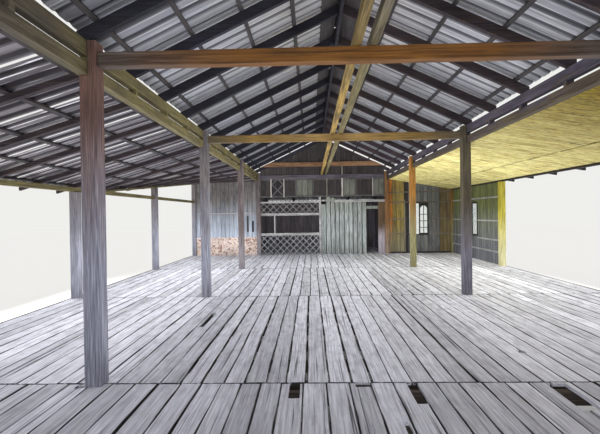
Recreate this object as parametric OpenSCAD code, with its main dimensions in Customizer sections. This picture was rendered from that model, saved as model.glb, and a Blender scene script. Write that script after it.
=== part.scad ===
// Stilt house: a long open timber hall on posts, with a nave, two aisles and a closed back room.
// The origin is on the ground under the middle of the house. +Y runs down the hall to the back wall.
// Heights in the sections below are measured from the top of the floor, unless a line says otherwise.

/* [Plan] */
// Length of one bay, from post row to post row
bay_l = 4000; // [3200:100:4800]
// Number of open bays
bays = 4; // [3:1:6]
// Width of the nave between post centres
nave_w = 4800; // [4000:100:5600]
// Width of an aisle, from nave post to eave post
aisle_w = 2450; // [1900:50:3000]
// Depth of the closed room behind the back wall
room_l = 3000; // [2400:100:4000]
// Side of a square post
post_s = 150; // [120:5:180]
// Height of the floor above the ground
floor_h = 1200; // [800:50:2000]

/* [Floor] */
// Thickness of the floor boards
deck_t = 30; // [22:1:45]
// Distance that the floor runs out past the first posts
deck_front = 160; // [140:10:400]
// Open joint between the boards of two bays
deck_joint = 14; // [6:1:30]
// Clearance of the boards round a post
deck_gap = 3; // [1:1:8]
// Width of a floor joist
joist_w = 60; // [45:5:80]
// Depth of a floor joist
joist_d = 120; // [90:5:160]
// Number of joist spaces in one bay
joist_spaces = 6; // [4:1:8]
// Width of a girder under the joists
girder_w = 60; // [45:5:80]
// Depth of a girder under the joists
girder_d = 180; // [140:10:220]
// Thickness of the beam along each long floor edge
edge_t = 40; // [25:5:60]
// Depth of the beam along each long floor edge
edge_d = 150; // [100:10:220]

/* [Nave frame] */
// Height of the underside of the lower nave plate
plate_z = 2770; // [2500:10:3000]
// Width of the nave plates
plate_w = 90; // [80:5:120]
// Depth of the lower nave plate
plate_d = 120; // [90:5:150]
// Open slit between the two nave plates
plate_slit = 60; // [15:5:90]
// Depth of the upper nave plate
upper_d = 130; // [100:5:180]
// Height of the underside of the tie beams
tie_z = 2850; // [2600:10:3000]
// Width of a tie beam
tie_w = 100; // [70:5:120]
// Depth of a tie beam
tie_d = 130; // [100:5:160]
// Height of the underside of the collar beam in front of the gable
collar_z = 3290; // [3200:10:3400]
// Depth of the collar beam
collar_d = 160; // [120:10:200]
// Thickness of the collar beam
collar_t = 60; // [40:5:80]
// Width of one of the two centre beams
centre_w = 70; // [50:5:90]
// Depth of the centre beams
centre_d = 100; // [70:5:140]
// Open slit between the two centre beams
centre_slit = 75; // [40:5:120]
// Distance of the centre beams from the middle of the nave
centre_off = 60; // [0:5:150]

/* [Roof] */
// Pitch of the nave roof in degrees
nave_pitch = 25.3; // [20:0.1:30]
// Pitch of the left aisle roof in degrees
left_pitch = 16.6; // [12:0.1:19]
// Pitch of the left aisle roof at its raised back end in degrees
left_back_pitch = 0.5; // [0:0.1:6]
// Number of rafter spaces before the left eave starts to rise
rise_spaces = 9; // [6:1:12]
// Pitch of the right aisle roof in degrees
right_pitch = 9.7; // [7:0.1:12]
// Height of the rafter backs where the left aisle roof meets the nave
left_high = 2830; // [2780:5:2860]
// Height of the rafter backs where the right aisle roof meets the nave
right_high = 2848; // [2820:4:2900]
// Number of rafter spaces in one bay
rafter_spaces = 4; // [3:1:5]
// Width of a rafter
rafter_w = 60; // [45:5:80]
// Depth of a nave rafter
nave_rafter_d = 120; // [90:5:150]
// Depth of an aisle or back room rafter
aisle_rafter_d = 60; // [50:5:90]
// Depth of the seat that each rafter has on its plate
seat_d = 18; // [8:1:30]
// Length of the nave rafters past the plate
nave_tail = 30; // [20:5:120]
// Length of the aisle roofs past the eave plate
eave_tail = 300; // [150:10:450]
// Overhang of the roof past the first posts
front_over = 400; // [200:50:700]
// Overhang of the roof behind the back wall
gable_over = 300; // [150:50:500]
// Width of a batten
batten_w = 50; // [35:5:70]
// Thickness of a batten
batten_t = 28; // [20:1:40]
// Spacing of the battens up the slope
batten_gap = 620; // [450:10:800]
// Distance from the lowest nave batten to the ends of the rafters
batten_rise = 180; // [120:10:240]
// Thickness of the ridge board
ridge_t = 40; // [25:5:60]
// Depth of the ridge board
ridge_d = 200; // [150:10:260]
// Width of the flat board on each side of the ridge
ridge_side_w = 230; // [120:10:300]
// Thickness of a roof sheet
metal_t = 4; // [3:1:6]
// Height of the ribs of the roof sheets
rib_h = 22; // [12:1:35]
// Spacing of the ribs
rib_gap = 200; // [140:10:333]
// Width of a rib at its foot
rib_foot = 80; // [60:2:100]
// Width of a rib at its top
rib_top = 36; // [20:2:50]
// Width of one roof sheet
sheet_w = 1000; // [800:50:1200]
// Length of the nave roof that has lost its sheets at the back
lost_sheets = 700; // [500:50:900]
// Least width of a sheet or cap that is cut at the end of a roof
cut_least = 250; // [150:10:400]
// Side gap between two sheets of the sound roofs
sheet_lap = 4; // [3:1:10]
// Side gap between two sheets of the worn left aisle roof
worn_lap = 45; // [10:1:60]
// Open slit beside the ridge board
ridge_slit = 25; // [10:5:50]
// Half width of the cap on the ridge
cap_w = 130; // [80:5:200]
// Length of one piece of the ridge cap
cap_l = 1800; // [1200:50:2400]
// Open joint between two pieces of the ridge cap
cap_joint = 40; // [5:5:80]
// Thickness of the cap on the ridge
cap_t = 6; // [4:1:12]
// Thickness of the ceiling boards of the right aisle
ceiling_t = 15; // [12:1:25]

/* [Eaves] */
// Depth of the left eave plate
left_plate_d = 80; // [60:5:120]
// Depth of the raised beam on the left eave plate
rise_beam_d = 40; // [30:5:60]
// Depth of the right eave plate
right_plate_d = 60; // [50:5:100]

/* [Walls] */
// Thickness of a boarded wall
wall_t = 25; // [18:1:40]
// Thickness of the rails on the walls
rail_t = 20; // [15:1:30]
// Depth of the rails on the walls
rail_d = 45; // [30:5:70]
// Width of the lattice bay
lattice_w = 2195; // [1900:5:2400]
// Width of the stud between the lattice and the partition
stud_w = 80; // [50:5:110]
// Height of the top of the lower lattice
lattice_low = 715; // [500:5:800]
// Depth of the two rails of the lattice bay
lattice_rail = 96; // [60:4:120]
// Height of the bottom of the upper lattice rail
lattice_high = 1464; // [1300:4:1550]
// Height of the top of the upper lattice
lattice_top = 1930; // [1800:10:2000]
// Distance of the thin stud in the lattice opening from the left post
thin_stud = 525; // [400:5:800]
// Width of a lattice lath
lath_w = 32; // [24:1:40]
// Thickness of the lattice
lath_t = 14; // [8:1:24]
// Spacing of the laths along the wall
lath_gap = 244; // [180:4:300]
// Width of the boards between the doorway and the right post
jamb_w = 250; // [150:10:350]
// Clear width of the doorway
door_w = 440; // [400:10:500]
// Clear height of the doorway
door_h = 1675; // [1600:5:1720]
// Depth of the board over the doorway
lintel_d = 110; // [80:5:120]
// Height of the first partition board
first_board_h = 1880; // [1800:10:2000]
// Height of the partition boards under the white rail
partition_h = 2010; // [1900:10:2040]
// Height of the top of the white rail
rail_top = 2030; // [1960:10:2080]
// Width of one partition board
partition_board = 158; // [120:1:200]
// Depth of the white rail on the partition
partition_rail_d = 95; // [80:5:140]
// Height of the underside of the upper panel row
panels_z = 2150; // [2100:10:2200]
// Depth of the rails of the upper panel row
panel_rail = 60; // [40:5:80]
// Thickness of the panels in the upper row
panel_t = 16; // [10:1:25]
// Clearance between the gable boards and the rafters
rake_gap = 2; // [1:1:6]

/* [Windows] */
// Distance of the double window from the nave posts
double_x = 635; // [500:5:800]
// Height of the bottom of the double window's frame
double_z = 674; // [600:2:720]
// Width of the left side of the double window's frame
double_side = 120; // [60:5:150]
// Width of the bar between the two lights and of the rest of the frame
double_bar = 36; // [24:2:50]
// Width of the plain light
plain_w = 368; // [300:4:400]
// Height of the plain light
plain_h = 1140; // [1100:10:1200]
// Width of the arched light
arch_w = 270; // [220:5:320]
// Height of the arched light
arch_h = 1020; // [900:10:1040]
// Height of the arched light's sill over the plain one's
arch_lift = 40; // [0:10:50]
// Height of the sill of the side window
sill_z = 745; // [650:5:850]
// Distance of the side window from the third post row
side_x = 1630; // [1400:10:1800]
// Clear width of the side window
side_w = 560; // [450:10:650]
// Clear height of the side window
side_h = 1080; // [950:10:1150]
// Width of the frame round the side window
side_bar = 50; // [35:5:70]
// Height of the rail over the side window from the top of its frame
side_over = 75; // [20:5:120]

/* [Back room] */
// Pitch of the back room roof in degrees
room_pitch = 10; // [7:0.5:12]
// Height of the rafter backs of the back room at the gable
room_high = 2640; // [2560:10:2660]
// Number of rafter spaces across the back room
room_spaces = 4; // [3:1:6]
// Width of the two beams that carry the back room roof
room_beam_w = 60; // [45:5:80]
// Depth of the two beams that carry the back room roof
room_beam_d = 120; // [90:5:160]
// Overhang of the back room roof behind its wall
room_over = 300; // [200:10:450]

/* [Hidden] */

post_r = post_s / 2;
nave_x = nave_w / 2;
eave_x = nave_x + aisle_w;
deck_x = eave_x + post_r;
house_l = front_over + bays * bay_l + room_l + room_over;
first_y = front_over - house_l / 2;
back_y = first_y + bays * bay_l;
room_y = back_y + room_l;
roof_front = first_y - front_over;
roof_back = back_y + gable_over;
sheets_back = roof_back - lost_sheets;
plate_out = nave_x + plate_w;
lower_bot = floor_h + plate_z;
upper_bot = lower_bot + plate_d + plate_slit;
upper_top = upper_bot + upper_d;
tie_bot = floor_h + tie_z;
tie_top = tie_bot + tie_d;
deck_bot = floor_h - deck_t;
joist_bot = deck_bot - joist_d;
girder_bot = joist_bot - girder_d;
nave_drop = nave_rafter_d / cos(nave_pitch);
nave_foot = upper_top - seat_d + plate_out * tan(nave_pitch);
nave_back = nave_foot + nave_drop;
ridge_bot = nave_back - ridge_t / 2 * tan(nave_pitch) - ridge_d;
inner_x = nave_x - post_r;
outer_x = nave_x + post_r;
aisle_end = eave_x - post_r;
eave_out = eave_x + plate_w / 2;
frame_front = back_y - wall_t / 2;
sheet_t = rib_h + metal_t;
fine = 48;
lattice_end = lattice_w - inner_x;
door_x = inner_x - jamb_w - door_w;
// The row that has no tie beam, and the one whose right eave post has gone above the floor
untied_row = bays - 1;
lost_post = bays - 2;

function row_y(i) = first_y + i * bay_l;
function nave_under(x) = nave_foot - x * tan(nave_pitch);
function aisle_back(x, pitch, high) = floor_h + high - (x - plate_out) * tan(pitch);
function aisle_under(x, pitch, high) = aisle_back(x, pitch, high) - aisle_rafter_d / cos(pitch);
function left_tan(y) = tan(left_pitch) - max(0, y - rise_y) * (tan(left_pitch) - tan(left_back_pitch))
    / (roof_back - rise_y);
function left_back(x, y) = floor_h + left_high - (x - plate_out) * left_tan(y);
function left_rafter_pitch(y) = atan(left_tan(y - rafter_w / 2));
function eave_top(pitch, high) = aisle_under(eave_out, pitch, high) + seat_d;
function room_back(y) = floor_h + room_high - (y - back_y - post_r) * tan(room_pitch);
function room_under(y) = room_back(y) - aisle_rafter_d / cos(room_pitch);
left_eave_bot = eave_top(left_pitch, left_high) - left_plate_d;
right_eave_bot = eave_top(right_pitch, right_high) - right_plate_d;
rise_y = first_y + rise_spaces * bay_l / rafter_spaces;
function rise_top(y) = left_eave_bot + left_plate_d
    + (eave_out - plate_out) * (tan(left_pitch) - left_tan(y));
rise_free = rise_y + rise_beam_d * (roof_back - rise_y) / (rise_top(roof_back) - rise_top(rise_y));

// A square post from one height to another
module post(x, y, z0, z1) {
    translate([x - post_r, y - post_r, z0]) cube([post_s, post_s, z1 - z0]);
}

// A level beam along X
module beam_x(x0, x1, y, w, z, d) {
    translate([x0, y - w / 2, z]) cube([x1 - x0, w, d]);
}

// A level beam along Y
module beam_y(x, w, y0, y1, z, d) {
    translate([x - w / 2, y0, z]) cube([w, y1 - y0, d]);
}

// A plate that stands in the XZ plane, centred on y
module plate_xz(y, t) {
    translate([0, y + t / 2, 0]) rotate([90, 0, 0]) linear_extrude(t) children();
}

// A plate that stands in the YZ plane, centred on x. Its outline is drawn as (y, z).
module plate_yz(x, t) {
    translate([x - t / 2, 0, 0]) rotate([90, 0, 90]) linear_extrude(t) children();
}

// Frames that lie on the backs of the rafters: X runs down the slope
module on_nave() {
    translate([0, 0, nave_back]) rotate([0, nave_pitch, 0]) children();
}
module on_aisle(pitch, high) {
    translate([plate_out, 0, floor_h + high]) rotate([0, pitch, 0]) children();
}
module on_room() {
    translate([0, back_y + post_r, floor_h + room_high]) rotate([-room_pitch, 0, 0]) children();
}

// Places of the battens down a slope
function batten_places(first, last) = concat([for (u = [first : batten_gap : last - 3 * batten_w]) u],
    [last - batten_w]);

// Battens across the rafters, in a frame on their backs
module batten_run(first, last, y1) {
    for (u = batten_places(first, last))
        translate([u, roof_front, 0]) cube([batten_w, y1 - roof_front, batten_t]);
}

// Outline of a ribbed sheet of width w, as (across, up)
function rib_line(w, z) = let (n = max(1, round(w / rib_gap))) concat([[0, z]],
    [for (r = [0 : n - 1], p = [[-rib_foot, 0], [-rib_top, rib_h], [rib_top, rib_h], [rib_foot, 0]])
        [(r + 0.5) * w / n + p[0] / 2, z + p[1]]], [[w, z]]);
function turned(list) = [for (i = [len(list) - 1 : -1 : 0]) list[i]];
function sheet_outline(w) = concat(rib_line(w, 0), turned(rib_line(w, metal_t)));

// Sheets side by side on the battens, in a frame on the rafters' backs
module sheet_run(u0, u1, y1, gap) {
    for (y = [roof_front : sheet_w : y1 - cut_least])
        translate([u0, y, batten_t]) rotate([90, 0, 90]) linear_extrude(u1 - u0)
            polygon(sheet_outline(min(sheet_w, y1 - y) - gap));
}

module nave_posts() {
    for (i = [0 : bays]) difference() {
        post(nave_x, row_y(i), 0, upper_top);
        translate([nave_x, row_y(i) - post_s, lower_bot]) cube([post_s, 2 * post_s, upper_top]);
    }
}

// A left eave post ends under the level plate, or under the raised beam at the back
module left_eave_post(y) {
    y0 = y - post_r;
    y1 = y + post_r;
    if (y0 > rise_free)
        plate_yz(-eave_x, post_s)
            polygon([[y0, 0], [y0, rise_top(y0) - rise_beam_d], [y1, rise_top(y1) - rise_beam_d], [y1, 0]]);
    else
        post(-eave_x, y, 0, left_eave_bot);
}
module left_eave_posts() {
    color("slategray") for (i = [0 : bays]) left_eave_post(row_y(i));
}
module left_nave_posts() {
    color("rosybrown") mirror([1, 0, 0]) nave_posts();
}
module right_nave_posts() {
    color("dimgray") nave_posts();
}
module right_eave_posts() {
    color("goldenrod") for (i = [0 : bays])
        post(eave_x, row_y(i), 0, i == lost_post ? floor_h : right_eave_bot);
}
module room_posts() {
    color("dimgray") for (s = [-1, 1]) post(s * nave_x, room_y, 0, room_plate_z);
}

module floor_girders() {
    color("saddlebrown") for (s = [-1, 1]) {
        for (side = [-1, 1])
            beam_y(s * nave_x + side * (post_r + girder_w / 2), girder_w,
                first_y - deck_front, room_y + post_r, girder_bot, girder_d);
        beam_y(s * (eave_x - post_r - girder_w / 2), girder_w,
            first_y - deck_front, back_y + post_r, girder_bot, girder_d);
    }
}

module floor_joists() {
    flank = post_r + joist_w / 2;
    color("peru") {
        for (i = [0 : bays], s = [-1, 1])
            beam_x(-deck_x, deck_x, row_y(i) + s * flank, joist_w, joist_bot, joist_d);
        for (i = [0 : bays - 1], j = [1 : joist_spaces - 1])
            beam_x(-deck_x, deck_x, row_y(i) + j * bay_l / joist_spaces, joist_w, joist_bot, joist_d);
        for (j = [1 : joist_spaces - 2])
            beam_x(-outer_x, outer_x, back_y + j * room_l / (joist_spaces - 1), joist_w, joist_bot, joist_d);
        beam_x(-outer_x, outer_x, room_y - flank, joist_w, joist_bot, joist_d);
    }
}

module edge_beams() {
    color("sienna") for (s = [-1, 1])
        beam_y(s * (deck_x + edge_t / 2), edge_t, first_y - deck_front, back_y + post_r,
            floor_h - edge_d, edge_d);
}

// Places where boards have rotted through: x, y from the second post row, width, length
rotten = [[-650, -310, 95, 300], [-70, -90, 140, 110], [400, -420, 60, 440], [1550, -490, 75, 480],
    [-1995, 1900, 75, 800], [1760, 760, 80, 90]];
module deck_slab(x, y0, y1) {
    difference() {
        translate([-x, y0, deck_bot]) cube([2 * x, y1 - y0, deck_t]);
        for (r = rotten)
            translate([r[0], row_y(1) + r[1], 0]) cube([r[2], r[3], 2 * floor_h]);
        for (i = [0 : bays], px = [-eave_x, -nave_x, nave_x, eave_x])
            translate([px - post_r - deck_gap, row_y(i) - post_r - deck_gap, 0])
                cube([post_s + 2 * deck_gap, post_s + 2 * deck_gap, 2 * floor_h]);
        for (px = [-nave_x, nave_x])
            translate([px - post_r - deck_gap, room_y - post_r - deck_gap, 0])
                cube([post_s + 2 * deck_gap, post_s + 2 * deck_gap, 2 * floor_h]);
    }
}

module floor_deck() {
    color("lightsteelblue") {
        for (i = [0 : bays - 1])
            deck_slab(deck_x, i == 0 ? first_y - deck_front : row_y(i) + deck_joint / 2,
                row_y(i + 1) - deck_joint / 2);
        deck_slab(outer_x, back_y + deck_joint / 2, room_y + post_r);
    }
}

// Two plates with a block between them under each rafter
module nave_plates() {
    beam_y(nave_x + plate_w / 2, plate_w, roof_front, roof_back, lower_bot, plate_d);
    beam_y(nave_x + plate_w / 2, plate_w, roof_front, roof_back, upper_bot, upper_d);
    for (i = [0 : bays * rafter_spaces])
        beam_x(nave_x, plate_out, first_y + i * bay_l / rafter_spaces, rafter_w, upper_bot - plate_slit,
            plate_slit);
}
module left_nave_plates() {
    color("darkkhaki") mirror([1, 0, 0]) nave_plates();
}
module right_nave_plates() {
    color("olive") nave_plates();
}
module left_eave_plate() {
    color("slategray") difference() {
        beam_y(-eave_x, plate_w, roof_front, back_y - post_r, left_eave_bot, left_plate_d);
        for (i = [0 : bays]) left_eave_post(row_y(i));
    }
}

// The beam that lifts the left eave towards the back, scarfed on the level plate
module raised_beam() {
    color("slategray") plate_yz(-eave_x, plate_w)
        polygon([[rise_y, rise_top(rise_y)], [rise_free, rise_top(rise_y)],
            [roof_back, rise_top(roof_back) - rise_beam_d], [roof_back, rise_top(roof_back)]]);
}
module right_eave_plate() {
    color("olive") beam_y(eave_x, plate_w, roof_front, roof_back, right_eave_bot, right_plate_d);
}

// The collar beam is nailed on the last rafters, with its ends cut along their backs
module collar_beam() {
    z0 = floor_h + collar_z;
    z1 = z0 + collar_d;
    x0 = (nave_back - z0) / tan(nave_pitch);
    x1 = (nave_back - z1) / tan(nave_pitch);
    plate_xz(back_y - (rafter_w + collar_t) / 2, collar_t)
        polygon([[-x0, z0], [-x1, z1], [x1, z1], [x0, z0]]);
}
module tie_beams() {
    color("darkorange") {
        for (i = [0 : bays]) if (i != untied_row)
            beam_x(-inner_x, inner_x, row_y(i), tie_w, tie_bot, tie_d);
        collar_beam();
    }
}

module centre_beams() {
    color("olive") for (s = [-1, 1])
        beam_y(centre_off + s * (centre_slit + centre_w) / 2, centre_w,
            roof_front, frame_front, tie_top, centre_d);
}

module ridge_board() {
    color("darkslategray") beam_y(0, ridge_t, roof_front, roof_back, ridge_bot, ridge_d);
}

// Bent pieces end to end, laid on the flat boards beside the ridge
module ridge_cap() {
    z = nave_back + batten_t / cos(nave_pitch);
    drop = cap_w * tan(nave_pitch);
    color("silver") for (y = [roof_front : cap_l : sheets_back - cut_least])
        translate([0, min(y + cap_l - cap_joint, sheets_back), z]) rotate([90, 0, 0])
            linear_extrude(min(y + cap_l - cap_joint, sheets_back) - y)
                polygon([[-cap_w, -drop], [0, 0], [cap_w, -drop], [cap_w, cap_t - drop], [0, cap_t],
                    [-cap_w, cap_t - drop]]);
}

// One nave rafter, with a seat cut over the upper plate
module nave_rafter(y) {
    x0 = ridge_t / 2;
    x1 = plate_out + nave_tail;
    difference() {
        plate_xz(y, rafter_w) polygon([[x0, nave_under(x0)], [x0, nave_under(x0) + nave_drop],
            [x1, nave_under(x1) + nave_drop], [x1, nave_under(x1)]]);
        translate([0, y - rafter_w, upper_bot]) cube([plate_out, 2 * rafter_w, upper_d]);
    }
}

module nave_rafters() {
    color("darkslateblue") for (i = [0 : bays * rafter_spaces]) {
        nave_rafter(first_y + i * bay_l / rafter_spaces);
        mirror([1, 0, 0]) nave_rafter(first_y + i * bay_l / rafter_spaces);
    }
}

// Battens on both slopes, with a flat board on each side of the ridge
module nave_battens() {
    u0 = ridge_t / 2 + ridge_slit;
    u1 = (plate_out + nave_tail) / cos(nave_pitch);
    color("darkslategray") for (m = [0, 1]) mirror([m, 0, 0]) on_nave() {
        batten_run(u0 + batten_gap, u1 - batten_rise, roof_back);
        translate([u0, roof_front, 0]) cube([ridge_side_w, roof_back - roof_front, batten_t]);
    }
}

module nave_sheets() {
    u0 = cap_w / cos(nave_pitch) + batten_w / 2;
    on_nave() sheet_run(u0, (plate_out + nave_tail) / cos(nave_pitch), sheets_back, sheet_lap);
}
module left_nave_sheets() {
    color("silver") mirror([1, 0, 0]) nave_sheets();
}
module right_nave_sheets() {
    color("lightgray") nave_sheets();
}

// One aisle rafter, from the nave plate to its tail past the eave plate. Its seats are cut by the children.
module aisle_rafter(y, pitch, high) {
    x1 = eave_out + eave_tail;
    difference() {
        plate_xz(y, rafter_w) polygon([[plate_out, aisle_under(plate_out, pitch, high)],
            [plate_out, aisle_back(plate_out, pitch, high)],
            [x1, aisle_back(x1, pitch, high)], [x1, aisle_under(x1, pitch, high)]]);
        children();
    }
}
module left_aisle_rafters() {
    color("slategray") mirror([1, 0, 0]) for (i = [0 : bays * rafter_spaces]) {
        y = first_y + i * bay_l / rafter_spaces;
        aisle_rafter(y, left_rafter_pitch(y), left_high) mirror([1, 0, 0]) {
            beam_y(-eave_x, plate_w, roof_front, roof_back, left_eave_bot, left_plate_d);
            raised_beam();
        }
    }
}
module right_aisle_rafters() {
    color("darkkhaki") for (i = [0 : bays * rafter_spaces])
        aisle_rafter(first_y + i * bay_l / rafter_spaces, right_pitch, right_high) right_eave_plate();
}

left_tail = (eave_out + eave_tail - plate_out) / cos(left_pitch);
right_tail = (eave_out + eave_tail - plate_out) / cos(right_pitch);

// A batten of the raised part follows the rafters' backs at its upper edge
module raised_batten(x) {
    plate_yz(x + batten_w / 2, batten_w)
        polygon([[rise_y, left_back(x, rise_y)], [roof_back, left_back(x, roof_back)],
            [roof_back, left_back(x, roof_back) + batten_t], [rise_y, left_back(x, rise_y) + batten_t]]);
}
module aisle_battens() {
    color("dimgray") {
        on_aisle(right_pitch, right_high) batten_run(batten_w, right_tail, roof_back);
        mirror([1, 0, 0]) {
            on_aisle(left_pitch, left_high) batten_run(batten_w, left_tail, rise_y);
            for (u = batten_places(batten_w, left_tail)) raised_batten(plate_out + u * cos(left_pitch));
        }
    }
}

// A ribbed sheet of the raised part, twisted between the level top edge and the rising eave
module raised_sheet(x0, x1, y, w) {
    outline = sheet_outline(w);
    n = len(outline);
    points = [for (x = [x0, x1], p = outline) [x, y + p[0],
        left_back(x, y + p[0]) + batten_t + batten_w * left_tan(y + p[0]) + p[1]]];
    sides = [for (j = [0 : n - 1]) let (k = (j + 1) % n) each outline[j][0] < outline[k][0]
        ? [[j, n + k, k], [j, n + j, n + k]] : [[j, n + j, k], [k, n + j, n + k]]];
    ends = [for (j = [0 : n / 2 - 2]) each [[j, j + 1, n - 2 - j, n - 1 - j],
        [2 * n - 1 - j, 2 * n - 2 - j, n + j + 1, n + j]]];
    polyhedron(points, concat(ends, sides));
}
module left_aisle_sheets() {
    color("lightslategray") mirror([1, 0, 0]) {
        on_aisle(left_pitch, left_high) sheet_run(batten_w, left_tail + batten_w, rise_y, worn_lap);
        for (y = [rise_y : sheet_w : roof_back - cut_least])
            raised_sheet(plate_out + batten_w, plate_out + (left_tail + batten_w) * cos(left_pitch), y,
                min(sheet_w - worn_lap, roof_back - y));
    }
}
module right_aisle_sheets() {
    color("silver") on_aisle(right_pitch, right_high)
        sheet_run(batten_w, right_tail + batten_w, roof_back, sheet_lap);
}

module right_ceiling() {
    x1 = eave_out - plate_w;
    z0 = aisle_under(plate_out, right_pitch, right_high);
    z1 = aisle_under(x1, right_pitch, right_high);
    drop = ceiling_t / cos(right_pitch);
    y0 = first_y - post_r;
    y1 = back_y + post_r;
    color("khaki") translate([0, y1, 0]) rotate([90, 0, 0]) linear_extrude(y1 - y0)
        polygon([[plate_out, z0 - drop], [plate_out, z0], [x1, z1], [x1, z1 - drop]]);
}

module gable_boards() {
    z1 = nave_under(inner_x) - rake_gap;
    color("darkslategray") plate_xz(back_y, wall_t) difference() {
        polygon([[-inner_x, tie_top], [-inner_x, z1], [0, nave_under(0) - rake_gap], [inner_x, z1],
            [inner_x, tie_top]]);
        translate([-ridge_t / 2 - rake_gap, ridge_bot - rake_gap])
            square([ridge_t + 2 * rake_gap, ridge_d]);
    }
}

// The frame of the upper panel row, between the back wall's posts. Its studs divide the row unevenly.
panel_top = tie_z - panel_rail;
panel_studs = [for (share = [0.087, 0.192, 0.29, 0.427, 0.538, 0.661, 0.771, 0.906])
    (2 * share - 1) * inner_x];
crossed = 1;
function panel_x0(i) = i == 0 ? -inner_x + panel_rail / 2 : panel_studs[i - 1] + panel_rail / 2;
function panel_x1(i) = i == len(panel_studs) ? inner_x - panel_rail / 2 : panel_studs[i] - panel_rail / 2;
module upper_frame() {
    color("dimgray") difference() {
        translate([-inner_x, back_y - post_r / 2, floor_h + panels_z])
            cube([2 * inner_x, post_r, tie_z - panels_z]);
        for (i = [0 : len(panel_studs)])
            translate([panel_x0(i), back_y - post_s, floor_h + panels_z + panel_rail])
                cube([panel_x1(i) - panel_x0(i), 2 * post_s, panel_top - panels_z - panel_rail]);
    }
}

// The panel of the crossed cell lies behind its laths
module upper_panels() {
    color("darkseagreen") for (i = [0 : len(panel_studs)])
        translate([panel_x0(i), back_y + (i == crossed ? lath_t / 2 : -panel_t / 2),
            floor_h + panels_z + panel_rail])
            cube([panel_x1(i) - panel_x0(i), panel_t, panel_top - panels_z - panel_rail]);
}

// Laths that cross at right angles, fused, inside a rectangle. Laths cross on both of its ends.
module lattice(x0, x1, z0, z1, spacing) {
    gap = (x1 - x0) / round((x1 - x0) / spacing);
    count = ceil((z1 - z0) / gap);
    plate_xz(back_y, lath_t) intersection() {
        translate([x0, z0]) square([x1 - x0, z1 - z0]);
        for (i = [-count : round((x1 - x0) / gap) + count], s = [-1, 1])
            translate([x0 + i * gap, z0]) rotate(s * 45)
                square([lath_w, 2 * sqrt(2) * (z1 - z0) + 2 * lath_w], center = true);
    }
}
module lower_lattice() {
    color("gray") lattice(-inner_x, lattice_end, floor_h, floor_h + lattice_low, lath_gap);
}
module upper_lattice() {
    color("gray") {
        lattice(-inner_x, lattice_end, floor_h + lattice_high + lattice_rail, floor_h + lattice_top,
            lath_gap);
        lattice(panel_x0(crossed), panel_x1(crossed), floor_h + panels_z + panel_rail, floor_h + panel_top,
            panel_x1(crossed) - panel_x0(crossed));
    }
}

module lattice_rails() {
    color("lightgray") {
        beam_x(-inner_x, lattice_end, back_y, post_r, floor_h + lattice_low, lattice_rail);
        beam_x(-inner_x, lattice_end, back_y, post_r, floor_h + lattice_high, lattice_rail);
        beam_x(-inner_x, lattice_end, back_y, post_r, floor_h + lattice_top, panel_rail);
        beam_x(thin_stud - inner_x - rail_d / 2, thin_stud - inner_x + rail_d / 2, back_y, post_r,
            floor_h + lattice_low, lattice_high - lattice_low);
        beam_x(lattice_end, lattice_end + stud_w, back_y, post_r, floor_h, panels_z);
    }
}

// Upright boards from the lattice stud to the doorway: a short one, two up to the panel row, then the rest
partition_x = lattice_end + stud_w;
board_count = floor((door_x - partition_x) / partition_board);
board_w = (door_x - partition_x) / board_count;
tall_boards = 2;
function board_top(i) = i == 0 ? first_board_h : i <= tall_boards ? panels_z : partition_h;
module board_partition() {
    color("gainsboro") plate_xz(back_y, wall_t)
        for (i = [0 : board_count - 1])
            translate([partition_x + i * board_w, floor_h]) square([board_w, board_top(i)]);
}

module door_frame() {
    rail_x = partition_x + (tall_boards + 1) * board_w;
    color("tan") {
        translate([inner_x - jamb_w, frame_front, floor_h]) cube([jamb_w, wall_t, partition_h]);
        translate([door_x, frame_front, floor_h + door_h]) cube([door_w, wall_t, lintel_d]);
    }
    color("white") translate([rail_x, frame_front - rail_t, floor_h + rail_top - partition_rail_d])
        cube([inner_x - rail_x, rail_t, partition_rail_d]);
}

// Outline of one light with a round head
module arch(x, z, w, h) {
    translate([x, z]) square([w, h - w / 2]);
    translate([x + w / 2, z + h - w / 2]) circle(d = w, $fn = fine);
}

double_left = outer_x + double_x;
double_w = double_side + plain_w + 2 * double_bar + arch_w;
double_h = plain_h + 2 * double_bar;
double_light = double_z + double_bar;
module right_back_wall() {
    z0 = aisle_under(outer_x, right_pitch, right_high) - ceiling_t / cos(right_pitch);
    z1 = aisle_under(aisle_end, right_pitch, right_high) - ceiling_t / cos(right_pitch);
    color("dimgray") plate_xz(back_y, wall_t) difference() {
        polygon([[outer_x, floor_h], [outer_x, lower_bot], [plate_out, lower_bot], [aisle_end, z1],
            [aisle_end, floor_h]]);
        translate([double_left, floor_h + double_z]) square([double_w, double_h]);
    }
}

module right_side_wall() {
    y0 = row_y(bays - 1) + post_r;
    y1 = back_y - post_r;
    color("darkseagreen") plate_yz(eave_x, wall_t) difference() {
        translate([y0, floor_h]) square([y1 - y0, right_eave_bot - floor_h]);
        translate([row_y(bays - 1) + side_x, floor_h + sill_z]) square([side_w, side_h]);
    }
}

module window_frames() {
    color("black") {
        plate_xz(back_y, wall_t + 2 * rail_t) difference() {
            translate([double_left, floor_h + double_z]) square([double_w, double_h]);
            translate([double_left + double_side, floor_h + double_light]) square([plain_w, plain_h]);
            arch(double_left + double_side + plain_w + double_bar, floor_h + double_light + arch_lift,
                arch_w, arch_h);
        }
        plate_yz(eave_x, wall_t + 2 * rail_t) difference() {
            translate([row_y(bays - 1) + side_x, floor_h + sill_z]) square([side_w, side_h]);
            translate([row_y(bays - 1) + side_x + side_bar, floor_h + sill_z + side_bar])
                square([side_w - 2 * side_bar, side_h - 2 * side_bar]);
        }
    }
}

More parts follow.
